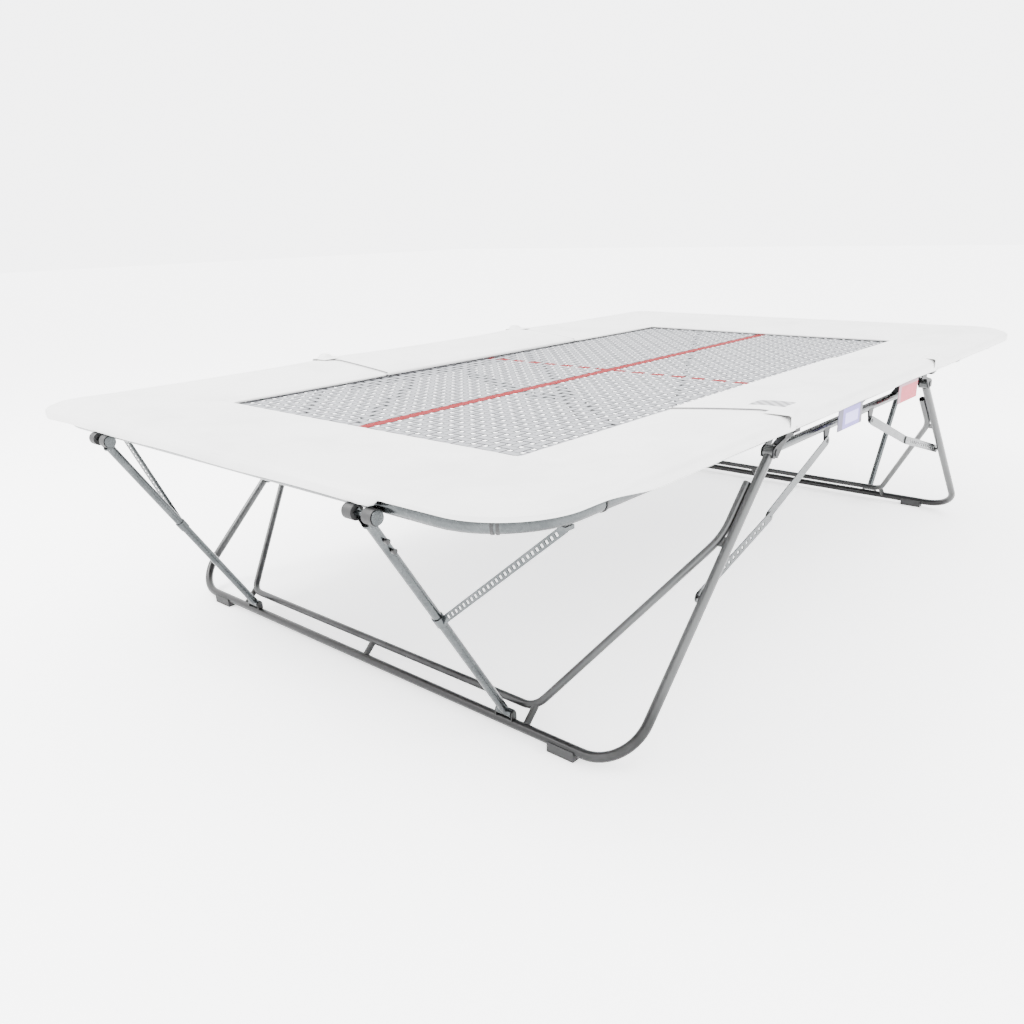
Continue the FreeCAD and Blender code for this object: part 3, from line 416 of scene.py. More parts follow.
def cover_cloth(name, clean, soiled, roughness=0.46, sewn_on=None):
    """Coated cloth; sewn_on gives the X and Y spans of a patch of ribbed hook-and-loop tape."""
    material, tree, shader = start_material(name, clean, 0.0, roughness, sheen_weight=0.05,
                                            coat_weight=0.06, coat_roughness=0.35)
    clouds = noise(tree, 0.35, 5.0, 0.6)
    shade = mix_colours(tree, spread(tree, clouds, 0.45, 0.8, 0.0, 1.0), clean, soiled)
    place = node(tree, "ShaderNodeTexCoord").outputs["Object"]
    if sewn_on:
        ribs = node(tree, "ShaderNodeTexWave",
                    {"Scale": 1 / TAPE_RIBS / 2 / math.pi, "bands_direction": "DIAGONAL"},
                    {"Vector": place}).outputs["Fac"]
        tape = mix_colours(tree, ribs, "#4a4b4d", "#8d8d8f")
        shade = mix_colours(tree, patch(tree, "XY", sewn_on), shade, tape)
    tree.links.new(shade, shader.inputs["Base Color"])
    gloss = spread(tree, clouds, 0.3, 0.7, roughness - 0.05, roughness + 0.08)
    tree.links.new(gloss, shader.inputs["Roughness"])
    warp, weft = [node(tree, "ShaderNodeTexWave",
                       {"Scale": 1 / CLOTH_GRAIN / 2 / math.pi, "bands_direction": way},
                       {"Vector": place}).outputs["Fac"] for way in "XY"]
    weave = node(tree, "ShaderNodeMath", {"operation": "MULTIPLY"}, {0: warp, 1: weft})
    creases = noise(tree, 0.06, 4.0, 0.55)
    height = node(tree, "ShaderNodeMath", {"operation": "MULTIPLY_ADD", 1: 0.04},
                  {0: weave.outputs[0], 2: creases})
    bump(tree, shader, height.outputs[0], 0.004, 0.35)
    return material


COVER = cover_cloth("white_pvc_coated_cloth", "#cfcfce", "#c2c2c1")
TAPED_COVER = cover_cloth("white_cloth_with_tape_patch", "#cfcfce", "#c2c2c1", sewn_on=TAPE_PATCH)
WELT = cover_cloth("welt_cloth", "#5c5c5d", "#525253")
print("made", COVER.name)

# %% [markdown]
# ## Nylon webbing
# The bed is woven from flat nylon straps. A strap has fine ribs across it, and each of its sides is painted
# near black as painted shade, standing in for the shadow in the gaps between straps; the strap's own UV map
# places both: the distance along it and round it in metres. The ribs are drawn 6 mm apart, twice the real
# spacing, so that they show.


# %% Webbing cloth
STRAP = 0.045
STRAP_THICK = 0.0012
RIB_PITCH = 0.006


def webbing(name, light, dark, edge):
    """Ribs are a sine of the distance along; the edge colour, a painted shade, fills the outer sixth of the
    width.
    """
    material, tree, shader = start_material(name, light, 0.0, 0.75)
    shader.inputs["Specular IOR Level"].default_value = 0.12
    flat = node(tree, "ShaderNodeTexCoord").outputs["UV"]
    across = node(tree, "ShaderNodeSeparateXYZ", {}, {"Vector": flat})
    phase = node(tree, "ShaderNodeMath", {"operation": "MULTIPLY", 1: 2 * math.pi / RIB_PITCH},
                 {0: across.outputs["X"]}).outputs[0]
    ribs = node(tree, "ShaderNodeMath", {"operation": "SINE"}, {0: phase})
    soil = noise(tree, 0.3, 4.0)
    rib_amount = spread(tree, ribs.outputs[0], -1.0, 1.0, 0.0, 0.25)
    amount = node(tree, "ShaderNodeMath", {"operation": "MULTIPLY_ADD", 1: 0.5, "use_clamp": True},
                  {0: soil, 2: rib_amount}).outputs[0]
    face = node(tree, "ShaderNodeMath", {"operation": "MODULO", 1: STRAP + STRAP_THICK},
                {0: across.outputs["Y"]})
    off_centre = node(tree, "ShaderNodeMath", {"operation": "SUBTRACT", 1: STRAP / 2}, {0: face.outputs[0]})
    reach = node(tree, "ShaderNodeMath", {"operation": "ABSOLUTE"}, {0: off_centre.outputs[0]}).outputs[0]
    # painted shade: the outer part of each side takes the edge colour, standing in for the shadow in the
    # gaps between straps
    painted_gap_shade = spread(tree, reach, 0.33 * STRAP, 0.47 * STRAP, 0.0, 1.0)
    woven = mix_colours(tree, amount, light, dark)
    tree.links.new(mix_colours(tree, painted_gap_shade, woven, edge), shader.inputs["Base Color"])
    bump(tree, shader, ribs.outputs[0], 0.0006, 0.5)
    return material


# the near-black third colour is painted shade for the gaps between straps
GREY_WEBBING = webbing("grey_nylon_webbing", "#8f9093", "#696b6e", "#101114")
RED_WEBBING = webbing("red_nylon_webbing", "#6c0009", "#620008", "#6c0009")
print("made", GREY_WEBBING.name, RED_WEBBING.name)

# %% [markdown]
# ## Giving the frame its finishes
# The model's own parts keep their shapes and only get a material. Which one is a short list, from
# what each part is made of.

# %% Finishes for the model's parts
FINISHES = {
    "side_tube": GALVANISED, "end_tube": GALVANISED, "lower_rail": GALVANISED, "strut_lugs": LEG_ENAMEL,
    "rail_end_caps": NYLON, "rail_brackets": OXIDE_STEEL, "leg_pivot_brackets": OXIDE_STEEL,
    "hinge_pins": OXIDE_STEEL, "hinge_lugs": OXIDE_STEEL, "stay_anchors": OXIDE_STEEL,
    "tube_collars": NYLON, "outer_leg": LEG_ENAMEL, "inner_leg": LEG_ENAMEL, "leg_webs": LEG_ENAMEL,
    "leg_eyes": LEG_ENAMEL, "foot_pads": RUBBER, "lower_stays": GALVANISED, "upper_stays": GALVANISED,
    "_strut": GALVANISED, "rollers": RUBBER, "brace": GALVANISED, "latch_knobs": NYLON,
    "blue_side_plate": LILAC_PAINT, "red_side_plate": PINK_PAINT, "springs": SPRING_WIRE,
    "bed": GREY_WEBBING, "pad": COVER,
}
for name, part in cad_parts.items():
    ending = max((key for key in FINISHES if name.endswith(key)), key=len)
    part.data.materials.clear()
    part.data.materials.append(FINISHES[ending])
print("finished", len(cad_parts), "parts")

# %% [markdown]
# ## The woven bed
# A competition bed is a plain weave of flat straps with open squares between them: each strap goes over
# one and under the next. It could be a flat sheet with holes drawn on it, but then the light wouldn't
# catch the crossings, which is what gives such a bed its shimmer. So every strap is a real band whose
# height follows a cosine along its length, in opposite phase to its neighbours.
#
# The bed crosses two folding hinges; it is made in two halves, each of which reaches over one hinge.

# %% Weave of the bed
LIFT = 0.0009
MARKING_WIDTH = 0.060
ACROSS_PITCH = (BED_X - STRAP / 2) / 16
ALONG_PITCH = (BED_Y - STRAP / 2) / 32
STEPS = 4


def straps(name, centres, start, count, pitch, phase, turned, finish_of_copy=None, flat=False):
    """Flat straps side by side. Height is lift x cosine of pi x distance / pitch, with the sign of phase.

    centres are the straps' places across, count the crossings along each, and turned swaps X and Y.
    """
    along = start + np.arange(count * STEPS + 1) * pitch / STEPS
    wave = np.zeros_like(along) if flat else LIFT * np.cos(np.pi * along / pitch)
    height = phase[:, None] * wave[None, :]
    side = np.array([-1, 1, 1, -1]) * STRAP / 2
    up = np.array([-1, -1, 1, 1]) * STRAP_THICK / 2
    grid = np.zeros((len(centres), len(along), 4, 3))
    grid[..., 0] = centres[:, None, None] + side[None, None, :]
    grid[..., 1] = along[None, :, None]
    grid[..., 2] = BED_Z + height[:, :, None] + up[None, None, :]
    if turned:
        grid = grid[..., [1, 0, 2]]
    return carried(name, grid, smooth_below=50, finish_of_copy=finish_of_copy)


def half_bed(name, side):
    """The straps of one half; side is -1 for the near half and 1 for the far half."""
    lengthwise = np.arange(-16, 17)
    sign_along = np.where(lengthwise % 2 == 0, 1.0, -1.0)
    start = 0.0 if side > 0 else -BED_Y + STRAP / 2
    made = [straps(name, lengthwise * ACROSS_PITCH, start, 32, ALONG_PITCH, sign_along, False)]
    crosswise = np.arange(0, 33) if side > 0 else np.arange(-32, 0)
    sign_across = np.where(crosswise % 2 == 0, -1.0, 1.0)
    made.append(straps("crosswise", crosswise * ALONG_PITCH, -16 * ACROSS_PITCH, 32, ACROSS_PITCH,
                       sign_across, True, finish_of_copy=(crosswise == 0).astype(int)))
    made.append(marking(start))
    made += hems(side)
    for piece in made:
        piece.data.materials.append(GREY_WEBBING)
        piece.data.materials.append(RED_WEBBING)
    return joined(name, made)


def marking(start):
    """The red centre strap, sewn flat on top of the weave."""
    along = np.linspace(start, start + BED_Y - STRAP / 2, 120)
    side = np.array([-1, 1, 1, -1]) * MARKING_WIDTH / 2
    up = LIFT + STRAP_THICK / 2 + np.array([0.0002, 0.0002, 0.0014, 0.0014])
    grid = np.zeros((1, len(along), 4, 3))
    grid[0, ..., 0] = side[None, :]
    grid[0, ..., 1] = along[:, None]
    grid[0, ..., 2] = BED_Z + up[None, :]
    return carried("marking", grid, smooth_below=50, finish_of_copy=np.array([1]))


def hems(side):
    """A doubled strap sewn under the edge on the half's three outer sides."""
    low = BED_Z - LIFT - STRAP_THICK / 2 - 0.0002
    up = low - np.array([0.0016, 0.0016, 0.0, 0.0])
    width = np.array([-1, 1, 1, -1]) * STRAP / 2
    along = np.linspace(0, side * BED_Y, 60)
    long_side = np.zeros((2, 60, 4, 3))
    long_side[..., 0] = (np.array([-1, 1]) * (BED_X - STRAP / 2))[:, None, None] + width[None, None, :]
    long_side[..., 1] = along[None, :, None]
    long_side[..., 2] = up[None, None, :]
    across = np.linspace(-BED_X + STRAP, BED_X - STRAP, 40)
    end = np.zeros((1, 40, 4, 3))
    end[..., 0] = across[None, :, None]
    end[..., 1] = side * (BED_Y - STRAP / 2) + width[None, None, :]
    end[..., 2] = up[None, None, :]
    return [carried("hem", long_side, smooth_below=50), carried("hem", end, smooth_below=50)]


near_bed = half_bed("near_half_of_bed", -1)
far_bed = half_bed("far_half_of_bed", 1)
for half, name, side in ((near_bed, "near_end", -1), (far_bed, "far_end", 1)):
    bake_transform(half)
    print(half.name, triangles(half), "triangles")
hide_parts("near_end_bed", "middle_bed")
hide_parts("far_end_bed")

# %% [markdown]
# ## The springs
# Each spring is a close-wound coil with a hook at both ends, pulled between the bed's hem and the tube.
# There are over a hundred, so each is a plain tube whose radius rises and falls: narrow at the hooks,
# and rippled along the coil. The ripple is coarser than the real turns, and costs few faces.

# %% Coiled springs
COIL_R = 0.011
WIRE_R = 0.0025


def springs(name, bed_ends, frame_ends):
    """One rippled tube per pair of points.

    The radius is the wire's at both ends and the coil's between, plus a ripple of 1.2 mm that
    changes sign from station to station. The hooks lie in line with the coil's top.
    """
    bed_ends, frame_ends = np.asarray(bed_ends, float), np.asarray(frame_ends, float)
    length = np.linalg.norm(frame_ends - bed_ends, axis=1)
    along = (frame_ends - bed_ends) / length[:, None]
    turns = 34
    coil_share = 0.25 / length
    reach = np.linspace(-0.5, 0.5, turns)
    low, high = 0.5 - coil_share / 2, 0.5 + coil_share / 2
    coil_at = 0.5 + reach[None, :] * coil_share[:, None]
    hook_in = low[:, None] * np.array([0.0, 0.55, 0.97])[None, :]
    hook_out = 1 - (1 - high)[:, None] * np.array([0.97, 0.55, 0.0])[None, :]
    share = np.concatenate([hook_in, coil_at, hook_out], axis=1)
    ripple = COIL_R - 0.0012 * (np.arange(turns) % 2)
    radius = np.concatenate([np.full(3, WIRE_R), ripple, np.full(3, WIRE_R)])
    radius[[3, -4]] = 0.006
    lift = np.concatenate([np.full(3, COIL_R - WIRE_R), np.zeros(turns), np.full(3, COIL_R - WIRE_R)])
    lift[[3, -4]] = 0.004
    centre = bed_ends[:, None, :] + share[..., None] * (frame_ends - bed_ends)[:, None, :]
    centre = centre + np.array([0, 0, 1.0]) * lift[None, :, None]
    side = np.stack([-along[:, 1], along[:, 0], np.zeros(len(along))], axis=1)
    across, up = circle(1.0, 8)
    ring = side[:, None, None, :] * (radius[:, None] * across[None, :])[None, :, :, None]
    ring = ring + np.array([0, 0, 1.0]) * (radius[:, None] * up[None, :])[None, :, :, None]
    piece = carried(name, centre[:, :, None, :] + ring, smooth_below=80)
    piece.data.materials.append(SPRING_WIRE)
    print(name, len(bed_ends), "springs", triangles(piece), "triangles")
    return piece


def side_rows(low, high):
    """Spring places along Y, about 110 mm apart."""
    count = round((high - low) / 0.11)
    return low + (np.arange(count) + 0.5) * (high - low) / count


def side_springs(rows):
    """Bed ends and frame ends of the springs on both sides at these places."""
    inner = np.stack([np.full(len(rows), BED_X + 0.001), rows, np.full(len(rows), BED_Z)], axis=1)
    outer = inner.copy()
    outer[:, 0] = SIDE_TUBE_X - 0.0305
    mirror = np.array([-1, 1, 1])
    return np.concatenate([inner, inner * mirror]), np.concatenate([outer, outer * mirror])


middle_springs = springs("middle_springs_coiled", *side_springs(side_rows(-HINGE_Y + 0.02, HINGE_Y - 0.02)))
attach(middle_springs, "middle_frame")
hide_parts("middle_springs")
COLUMNS = (np.arange(20) - 9.5) * 0.11
END_TUBE_Y = box("far_end_tube")[1][1] - 0.030
for name, side in (("near_end", -1), ("far_end", 1)):
    inner, outer = side_springs(side * side_rows(HINGE_Y + 0.02, BED_Y - 0.02))
    end_inner = np.stack([COLUMNS, np.full(20, side * (BED_Y + 0.001)), np.full(20, BED_Z)], axis=1)
    end_outer = end_inner.copy()
    end_outer[:, 1] = side * (END_TUBE_Y - 0.0305)
    piece = springs(name + "_springs_coiled", np.concatenate([inner, end_inner]),
                    np.concatenate([outer, end_outer]))
    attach(piece, name)
    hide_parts(name + "_springs")

# %% [markdown]
# ## The padded covers
# A frame pad is a slab of foam in a sewn PVC cover. Its outer edge hangs over the tube as a soft lip,
# and its inner part slopes down to the bed. It is made in three moves: a cross-section drawn through a
# few key points and rounded by cutting corners, that section carried along the frame, and a short
# cloth simulation in which the cover swells a few millimetres between its seams.
#
# The section is worked out for every station at once, because the pad's width and the depth of its lip
# change along the frame.


# %% The pad's section
def rounded(keys, rounds=2):
    """Cuts the corners of closed outlines: each side gives points at a quarter and three quarters."""
    for _ in range(rounds):
        following = np.roll(keys, -1, axis=1)
        keys = np.stack([0.75 * keys + 0.25 * following, 0.25 * keys + 0.75 * following], axis=2)
        keys = keys.reshape(keys.shape[0], -1, keys.shape[-1])
    return keys


TOP_KEYS = 12
INNER_SEAM, OUTER_SEAM, LIP_HEM, BACK_KEYS = 3, 3 + TOP_KEYS + 1, 3 + TOP_KEYS + 3, 3 + TOP_KEYS + 4
FLAT_WIDTH = 0.170


def section(width, top, lip):
    """Distance from the opening and height for each key point of the section, station by station.

    In order: up the inner edge, across the top with a crown of 4 mm x 4 t (1 - t), down the outside
    of the lip, up its inside, and back along the underside, which is flat where it rests on the tube.
    Between the opening and the flat 170 mm over the tube, both faces slope down to the bed: the top by
    38 mm and the underside by 26 mm, in proportion to how far they are from the flat.
    """
    one = np.ones_like(width)

    def left_of_slope(distance):
        return np.clip(1 - distance / (width - FLAT_WIDTH), 0, 1)

    def under(distance):
        return PAD_UNDER - (PAD_UNDER - EDGE_UNDER) * left_of_slope(distance)

    def upper(distance, share):
        return top - SLOPE_DROP * left_of_slope(distance) + 0.004 * 4 * share * (1 - share)

    t = np.linspace(0.04, 0.95, TOP_KEYS)
    keys = [(0.022 * one, under(0.022)), (0.008 * one, under(0.008)), (0.0 * one, under(0.0) + 0.006)]
    keys.append((0.002 * one, upper(0.0, 0.0) - 0.004))
    keys += [(width * share, upper(width * share, share)) for share in t]
    keys.append((width - 0.003, top - 0.004))
    keys.append((width, top - 0.5 * lip))
    keys.append((width - 0.002, top - lip))
    keys.append((width - 0.020, top - lip))
    keys.append((width - 0.024, np.minimum(top - lip + 0.012, PAD_UNDER - 0.001)))
    keys.append((width - 0.034, PAD_UNDER * one))
    keys += [(width * share, under(width * share)) for share in np.linspace(0.90, 0.08, 9)]
    keys.append((0.036 * one, under(0.036)))
    return np.stack([np.stack(key, axis=1) for key in keys], axis=1)


def pad_skin(inner, outer, top, lip, ripple):
    """The section carried between an inner and an outer line in plan; ripple is extra height of the top."""
    width = np.linalg.norm(outer - inner, axis=1)
    across = (outer - inner) / width[:, None]
    keys = rounded(section(width, top, lip))
    plan = inner[:, None, :] + keys[..., :1] * across[:, None, :]
    share = np.clip(keys[..., 0] / width[:, None], 0, 1)
    on_top = np.zeros(keys.shape[:2])
    on_top[:, 4 * INNER_SEAM + 2:4 * OUTER_SEAM] = 1.0
    height = keys[..., 1] + on_top * ripple(plan[..., 0], plan[..., 1], share)
    grid = np.concatenate([plan, height[..., None]], axis=-1)
    return rounded_ends(grid)


def rounded_ends(grid, radius=0.010):
    """Draws the last four stations at each end inwards along a quarter circle, so the end is soft."""
    angle = np.radians(np.array([78.0, 52.0, 26.0, 8.0]))
    for order in (slice(0, 4), slice(-1, -5, -1)):
        stations = grid[order]
        tangent = np.roll(stations, -1, axis=1) - np.roll(stations, 1, axis=1)
        forward = np.array([0.0, 1.0, 0.0])
        normal = np.cross(tangent, forward)
        normal /= np.maximum(np.linalg.norm(normal, axis=2, keepdims=True), 1e-9)
        area = (stations[..., 2] * np.roll(stations[..., 0], -1, axis=1)
                - stations[..., 0] * np.roll(stations[..., 2], -1, axis=1)).sum(axis=1)
        normal *= np.sign(area)[:, None, None]
        grid[order] = stations - normal * (radius * (1 - np.cos(angle)))[:, None, None]
    return grid


print("section has", section(np.array([0.6]), np.array([PAD_TOP]), np.array([0.06])).shape[1], "key points")

# %% [markdown]
# ## Letting the cover swell
# Blender's cloth with a little air pressure gives a cover its crown and its small unevenness. The seams
# and the underside are pinned, because stitching and the tube hold them. No point may move more than a
# few millimetres, since the foam inside is only so thick. The result is written back into the mesh.

# %% Cloth that swells between seams
SWELL = 0.007


def swell(piece, held, limit=SWELL, pressure=4.0):
    """Runs the cloth for 20 frames and keeps each point's move, shortened to the limit."""
    mesh = piece.data
    before = np.zeros(len(mesh.vertices) * 3, np.float32)
    mesh.vertices.foreach_get("co", before)
    group = piece.vertex_groups.new(name="sewn")
    group.add([int(i) for i in held], 1.0, "REPLACE")
    cloth = piece.modifiers.new("cover", "CLOTH")
    settings = cloth.settings
    settings.quality = 4
    settings.mass = 0.4
    settings.vertex_group_mass = "sewn"
    settings.use_pressure = True
    settings.uniform_pressure_force = pressure
    settings.effector_weights.gravity = 0.0
    settings.tension_stiffness = settings.compression_stiffness = 12
    settings.bending_stiffness = 0.4
    cloth.collision_settings.use_collision = False
    cloth.point_cache.frame_start, cloth.point_cache.frame_end = 1, 20
    for number in range(1, 21):
        scene.frame_set(number)
    evaluated = piece.evaluated_get(bpy.context.evaluated_depsgraph_get())
    after = np.zeros_like(before)
    evaluated.data.vertices.foreach_get("co", after)
    piece.modifiers.remove(cloth)
    piece.vertex_groups.remove(group)
    scene.frame_set(1)
    move = (after - before).reshape(-1, 3)
    size = np.linalg.norm(move, axis=1, keepdims=True)
    move *= np.minimum(1.0, limit / np.maximum(size, 1e-9))
    mesh.vertices.foreach_set("co", (before.reshape(-1, 3) + move).ravel())
    mesh.update()
    return float(size.max())


def make_pad(name, grid, cloth=COVER):
    """A cover from its grid, swollen, with its seam lines held while it swells."""
    piece = carried(name, grid[None], smooth_below=60)
    stations, ring = grid.shape[:2]
    number = np.arange(stations * ring).reshape(stations, ring)
    seams = [4 * key + 1 for key in (INNER_SEAM, OUTER_SEAM, LIP_HEM)]
    under = np.arange(4 * BACK_KEYS, ring)
    held = np.concatenate([number[:, seams].ravel(), number[:, under].ravel(),
                           number[:3].ravel(), number[-3:].ravel()])
    moved = swell(piece, np.unique(held))
    piece.data.materials.append(cloth)
    print(name, triangles(piece), "triangles, the cloth wanted to move", round(moved * 1000), "mm")
    return piece


# %% [markdown]
# ## Soft unevenness
# Foam settles and cloth creases. The top gets long, low waves, and at the corners short ripples that
# fan out from the opening's corner, where the sewn cover has more cloth than it needs.


# %% Ripples of the covers
def settled(x, y, share):
    """Long waves: a sum of three crossing sines, 2 mm high at most, fading at both edges."""
    long_waves = np.sin(5.1 * x + 2.3 * y) + np.sin(-3.7 * x + 6.9 * y + 1.1)
    waves = long_waves + 0.6 * np.sin(13 * x + 11 * y + 0.4)
    return 0.0008 * waves * np.sin(np.pi * share)


def corner_creases(x, y, share):
    """Creases round an opening corner: a sine of the angle seen from it, fading with distance."""
    across, along = np.abs(x) - OPENING_X, np.abs(y) - OPENING_Y
    distance = np.hypot(across, along) + 1e-6
    angle = np.arctan2(along, across)
    near_corner = np.exp(-((distance - 0.25) / 0.22) ** 2)
    near_corner = near_corner * np.clip(angle, 0, 1) * np.clip(1.6 - angle, 0, 1)
    return settled(x, y, share) + 0.010 * near_corner * np.sin(11 * angle + 2.0 * np.sign(x))


wave = float(settled(np.array(1.2), np.array(0.0), np.array(0.5)))
print("waves at the middle of a pad:", round(wave * 1000, 2), "mm")

# %% [markdown]
# ## Middle pads
# One straight pad on each side, from hinge to hinge. Their lips hang deeper than those of the end
# pads, because they also hide the side tube, and their tops stand a little higher, since their ends
# lap over the end pads.

# %% Middle pads
LAP = 0.004
GAP = 0.003


def straight_pad(name, side):
    stations = 75
    place = np.linspace(-HINGE_Y + GAP, HINGE_Y - GAP, stations)
    soft = np.array([0.0, 0.0015, 0.0045, 0.010])
    place[:4] = place[0] + soft
    place[-4:] = place[-1] - soft[::-1]
    inner = np.stack([np.full(stations, side * OPENING_X), place], axis=1)
    outer = np.stack([np.full(stations, side * PAD_X), place], axis=1)
    top = np.full(stations, PAD_TOP + LAP)
    lip = np.full(stations, 0.066) + 0.002 * np.sin(9 * place)
    return make_pad(name, pad_skin(inner, outer, top, lip, settled), TAPED_COVER)


middle_pads = {}
for name, side in (("left", -1), ("right", 1)):
    middle_pads[name] = straight_pad(name + "_middle_cover", side)
    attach(middle_pads[name], "middle_frame")
    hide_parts(name + "_middle_pad")

# %% [markdown]
# ## End pads
# Each end has one U-shaped pad. Its outer line has rounded corners, the left one pulled tighter, and
# its inner line nearly square ones, so the stations fan out round each corner. At the near right
# corner the lip is drawn up, so the tube and its collars show below it; the change is a small gather.

# %% End pads
CORNER_R = 0.300
SNUG_CORNER_R = 0.150
INNER_R = 0.030


def u_line(half_width, half_length, radii, start, arm, arc, end):
    """A U in plan: down one arm, round a quarter circle, along the end, and back up the other arm.

    The two corners may have different radii; the second half is made like the first and mirrored.
    """
    halves = []
    for radius in radii:
        arm_y = start + np.linspace(0, 1, arm, endpoint=False) * (half_length - radius - start)
        arm_y[:4] = start + np.array([0.0, 0.0015, 0.0045, 0.010])
        angle = np.linspace(0, np.pi / 2, arc, endpoint=False)
        x = np.concatenate([np.full(arm, half_width), half_width - radius * (1 - np.cos(angle)),
                            np.linspace(half_width - radius, 0, end, endpoint=False)])
        corner_y = half_length - radius + radius * np.sin(angle)
        y = np.concatenate([arm_y, corner_y, np.full(end, half_length)])
        halves.append(np.stack([x, y], axis=1))
    first, second = halves
    return np.concatenate([first, [[0.0, half_length]], second[::-1] * np.array([-1, 1])])


def step_up(value, low, high):
    """0 below low, 1 above high, and a smooth cubic between."""
    t = np.clip((value - low) / (high - low), 0, 1)
    return t * t * (3 - 2 * t)


def u_pad(name, side):
    counts = (54, 26, 50)
    inner = u_line(OPENING_X, OPENING_Y, (INNER_R, INNER_R), HINGE_Y + GAP, *counts)
    outer = u_line(PAD_X, PAD_Y, (CORNER_R, SNUG_CORNER_R), HINGE_Y + GAP, *counts)
    flip = np.array([1, side])
    x, y = outer[:, 0], np.abs(outer[:, 1])
    lip = 0.061 + 0.002 * np.sin(7 * x + 5 * y)
    if side < 0:
        round_corner = step_up(x, 0.93, 1.00) * step_up(y, 1.90, 2.25)
        pleats = 0.004 * np.sin(80 * x) * np.exp(-((x - 0.965) / 0.05) ** 2) * step_up(y, 2.4, 2.5)
        lip = lip - 0.031 * round_corner + pleats
    grid = pad_skin(inner * flip, outer * flip, np.full(len(inner), PAD_TOP - 0.003), lip, corner_creases)
    return make_pad(name, grid)


end_pads = {}
for name, side in (("near", -1), ("far", 1)):
    end_pads[name] = u_pad(name + "_end_cover", side)
    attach(end_pads[name], name + "_end")
    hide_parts(name + "_end_pad")

# %% [markdown]
# ## Flaps over the hinges
# The section hinges stand a little higher than the pads, so a flap of cover cloth is sewn over each one, to
# both pads. It's drawn in code and not simulated: a flap this small simply takes the hinge's shape, and it
# must clear the pin by a few millimetres. The height is the pads' top plus 24 mm x 1 / (1 + (distance along
# / 30 mm) to the 4th power), rising over 28 mm across.

# %% Hinge flaps
FLAP_THICK = 0.002
FLAP_HALF = 0.075          # half length, along the frame
FLAP_DOME = 0.024
DOME_REACH = 0.030
FLAP_LIFT = 0.0065         # over the middle pad's edge, so that it clears the crowned cloth
FLAP_HEM = 1.150           # how low its outer edge hangs


def hinge_flap(name, x_side, y_side):
    """One closed skin: over the top from the inner edge outwards, down the outside, and back beneath."""
    base = PAD_TOP + LAP + FLAP_LIFT
    along = np.linspace(-FLAP_HALF, FLAP_HALF, 31)
    dome = FLAP_DOME / (1 + (along / DOME_REACH) ** 4)
    x = np.array([1.452, 1.470, 1.488, 1.500, 1.508, 1.516, 1.524,
                  1.535, 1.548, 1.560, 1.567, 1.572, 1.5745])
    rise = step_up(x, 1.496, 1.524)
    top = base + dome[:, None] * rise[None, :] - 0.004 * step_up(x, 1.564, 1.5745)[None, :]
    hang_x = np.array([1.5765, 1.577, 1.577, 1.5765])
    share = np.array([0.10, 0.40, 0.75, 1.0])
    hang = top[:, -1:] - (top[:, -1:] - FLAP_HEM) * share[None, :]
    outer_x, outer_z = np.concatenate([x, hang_x]), np.concatenate([top, hang], axis=1)
    inner_x = np.concatenate([x[:-1], [1.5735], hang_x - FLAP_THICK])[::-1]
    inner_z = np.concatenate([top[:, :-1] - FLAP_THICK, top[:, -1:] - FLAP_THICK, hang], axis=1)[:, ::-1]
    ring_x = np.concatenate([outer_x, inner_x])
    ring_z = np.concatenate([outer_z, inner_z], axis=1)
    grid = np.zeros((1, len(along), len(ring_x), 3))
    grid[0, ..., 0] = x_side * ring_x[None, :]
    grid[0, ..., 1] = y_side * HINGE_Y + along[:, None]
    grid[0, ..., 2] = ring_z
    piece = carried(name, grid, smooth_below=60)
    piece.data.materials.append(COVER)
    return piece


for x_name, x_side in (("left", -1), ("right", 1)):
    for y_name, y_side in (("near", -1), ("far", 1)):
        flap = hinge_flap(y_name + "_" + x_name + "_hinge_flap", x_side, y_side)
        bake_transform(flap)
        print(flap.name, triangles(flap), "triangles")

# %% [markdown]
# ## Welts
# A grey cord is sewn into the edge of each middle pad where it laps over the end pads. It's a thin round
# cord carried along the pad's top line: flat over the tube, and sloping with the pad towards the bed.

# %% Welts of the middle pads
WELT_RADIUS = 0.0030


def welt(name, side):
    """A round cord at both ends of one middle pad."""
    x = np.linspace(OPENING_X + 0.006, PAD_X - 0.004, 40)
    width = PAD_X - OPENING_X
    share = (x - OPENING_X) / width
    slope = np.clip(1 - share * width / (width - FLAT_WIDTH), 0, 1)
    z = PAD_TOP + LAP - SLOPE_DROP * slope + 0.004 * 4 * share * (1 - share) - 0.004
    across, up = circle(WELT_RADIUS, 8)
    grid = np.zeros((2, len(x), 8, 3))
    grid[..., 0] = side * x[None, :, None]
    grid[..., 1] = (np.array([-1, 1]) * (HINGE_Y - GAP - 0.0005))[:, None, None] + across[None, None, :]
    grid[..., 2] = z[None, :, None] + up[None, None, :]
    cord = carried(name, grid, smooth_below=80)
    cord.data.materials.append(WELT)
    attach(cord, "middle_frame")
    return cord


for name, side in (("left", -1), ("right", 1)):
    print(welt(name + "_middle_welts", side).name)

# %% [markdown]
# ## Floor, light and camera
# A plain pale floor, which glows a little so that it stays as light as the room, and two large soft
# lamps. The camera stands low at one corner with a fairly wide lens, so the near corner looks big and
# the far end runs away.


# %% Floor and light
def plain_floor():
    mesh = bpy.data.meshes.new("floor")
    size = 60.0
    corners = [(-size, -size, 0), (size, -size, 0), (size, size, 0), (-size, size, 0)]
    mesh.from_pydata(corners, [], [(0, 1, 2, 3)])
    floor = bpy.data.objects.new("floor", mesh)
    scene.collection.objects.link(floor)
    material, _, shader = start_material("pale_floor_paint", "#f7f7f7", 0.0, 0.9)
    shader.inputs["Emission Color"].default_value = linear("#ffffff")
    shader.inputs["Emission Strength"].default_value = 0.9
    mesh.materials.append(material)


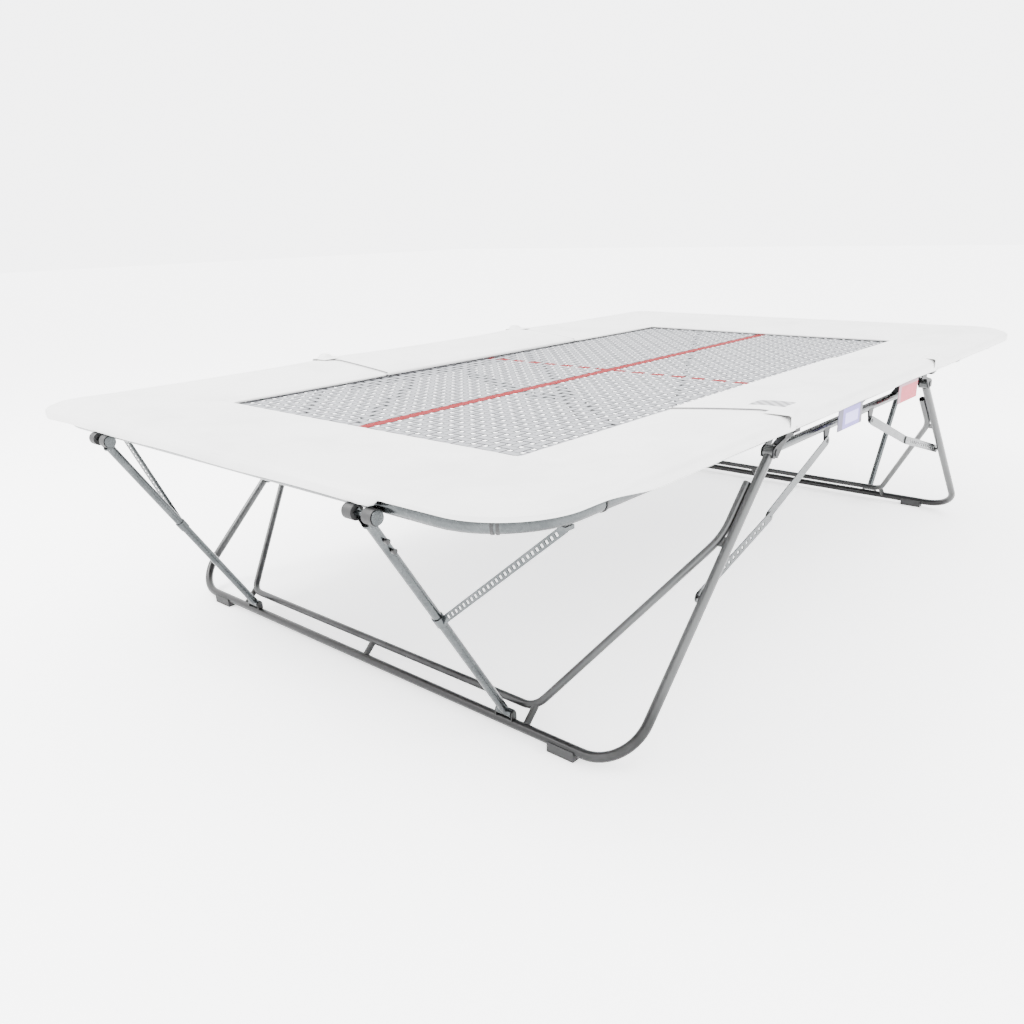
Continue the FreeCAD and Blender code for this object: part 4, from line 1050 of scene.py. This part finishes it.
def soft_lamp(name, place, aim, size, watts):
    """A square area lamp at a place, facing a point."""
    data = bpy.data.lights.new(name, "AREA")
    data.shape = "SQUARE"
    data.size = size
    data.energy = watts
    lamp = bpy.data.objects.new(name, data)
    lamp.matrix_world = look_from(place, aim)
    scene.collection.objects.link(lamp)


def look_from(place, aim):
    """The matrix of something at a place that looks along its own -Z at a point, with its Y up."""
    place, aim = np.array(place, float), np.array(aim, float)
    back = (place - aim) / np.linalg.norm(place - aim)
    right = np.cross([0, 0, 1.0], back)
    right /= np.linalg.norm(right)
    return matrix(right, np.cross(back, right), back, place)


def matrix(right, up, back, place):
    columns = np.eye(4)
    columns[:3, 0], columns[:3, 1], columns[:3, 2], columns[:3, 3] = right, up, back, place
    return Matrix(columns.tolist())


plain_floor()
soft_lamp("key_lamp", (-4.0, -5.0, 7.5), (0, 0, 0.8), 4.0, 1500)
soft_lamp("side_lamp", (7.0, 2.0, 5.0), (0, 0, 0.8), 4.0, 450)
world = bpy.data.worlds.new("studio")
scene.world = world
world.use_nodes = True
world.node_tree.nodes["Background"].inputs["Color"].default_value = linear("#fbfbfc")
world.node_tree.nodes["Background"].inputs["Strength"].default_value = 5.6
print("two lamps and a pale room")


# %% Camera
def camera(place, heading, tilt, roll, focal, shift):
    """Heading turns left from +Y, tilt is above the horizon, and roll turns the picture, in degrees."""
    heading, tilt, roll = (math.radians(angle) for angle in (heading, tilt, roll))
    forward = np.array([-math.sin(heading) * math.cos(tilt),
                        math.cos(heading) * math.cos(tilt), math.sin(tilt)])
    level = np.array([math.cos(heading), math.sin(heading), 0.0])
    above = np.cross(level, forward)
    right = math.cos(roll) * level + math.sin(roll) * above
    up = -math.sin(roll) * level + math.cos(roll) * above
    data = bpy.data.cameras.new("camera")
    data.sensor_width = 36.0
    data.lens = focal
    data.shift_x, data.shift_y = shift
    made = bpy.data.objects.new("camera", data)
    made.matrix_world = matrix(right, up, -forward, place)
    scene.collection.objects.link(made)
    scene.camera = made


camera((3.035, -4.278, 1.943), 41.23, -19.58, -1.61, 30.79, (-0.0125, 0.0249))
print("camera at", tuple(round(value, 3) for value in scene.camera.location))
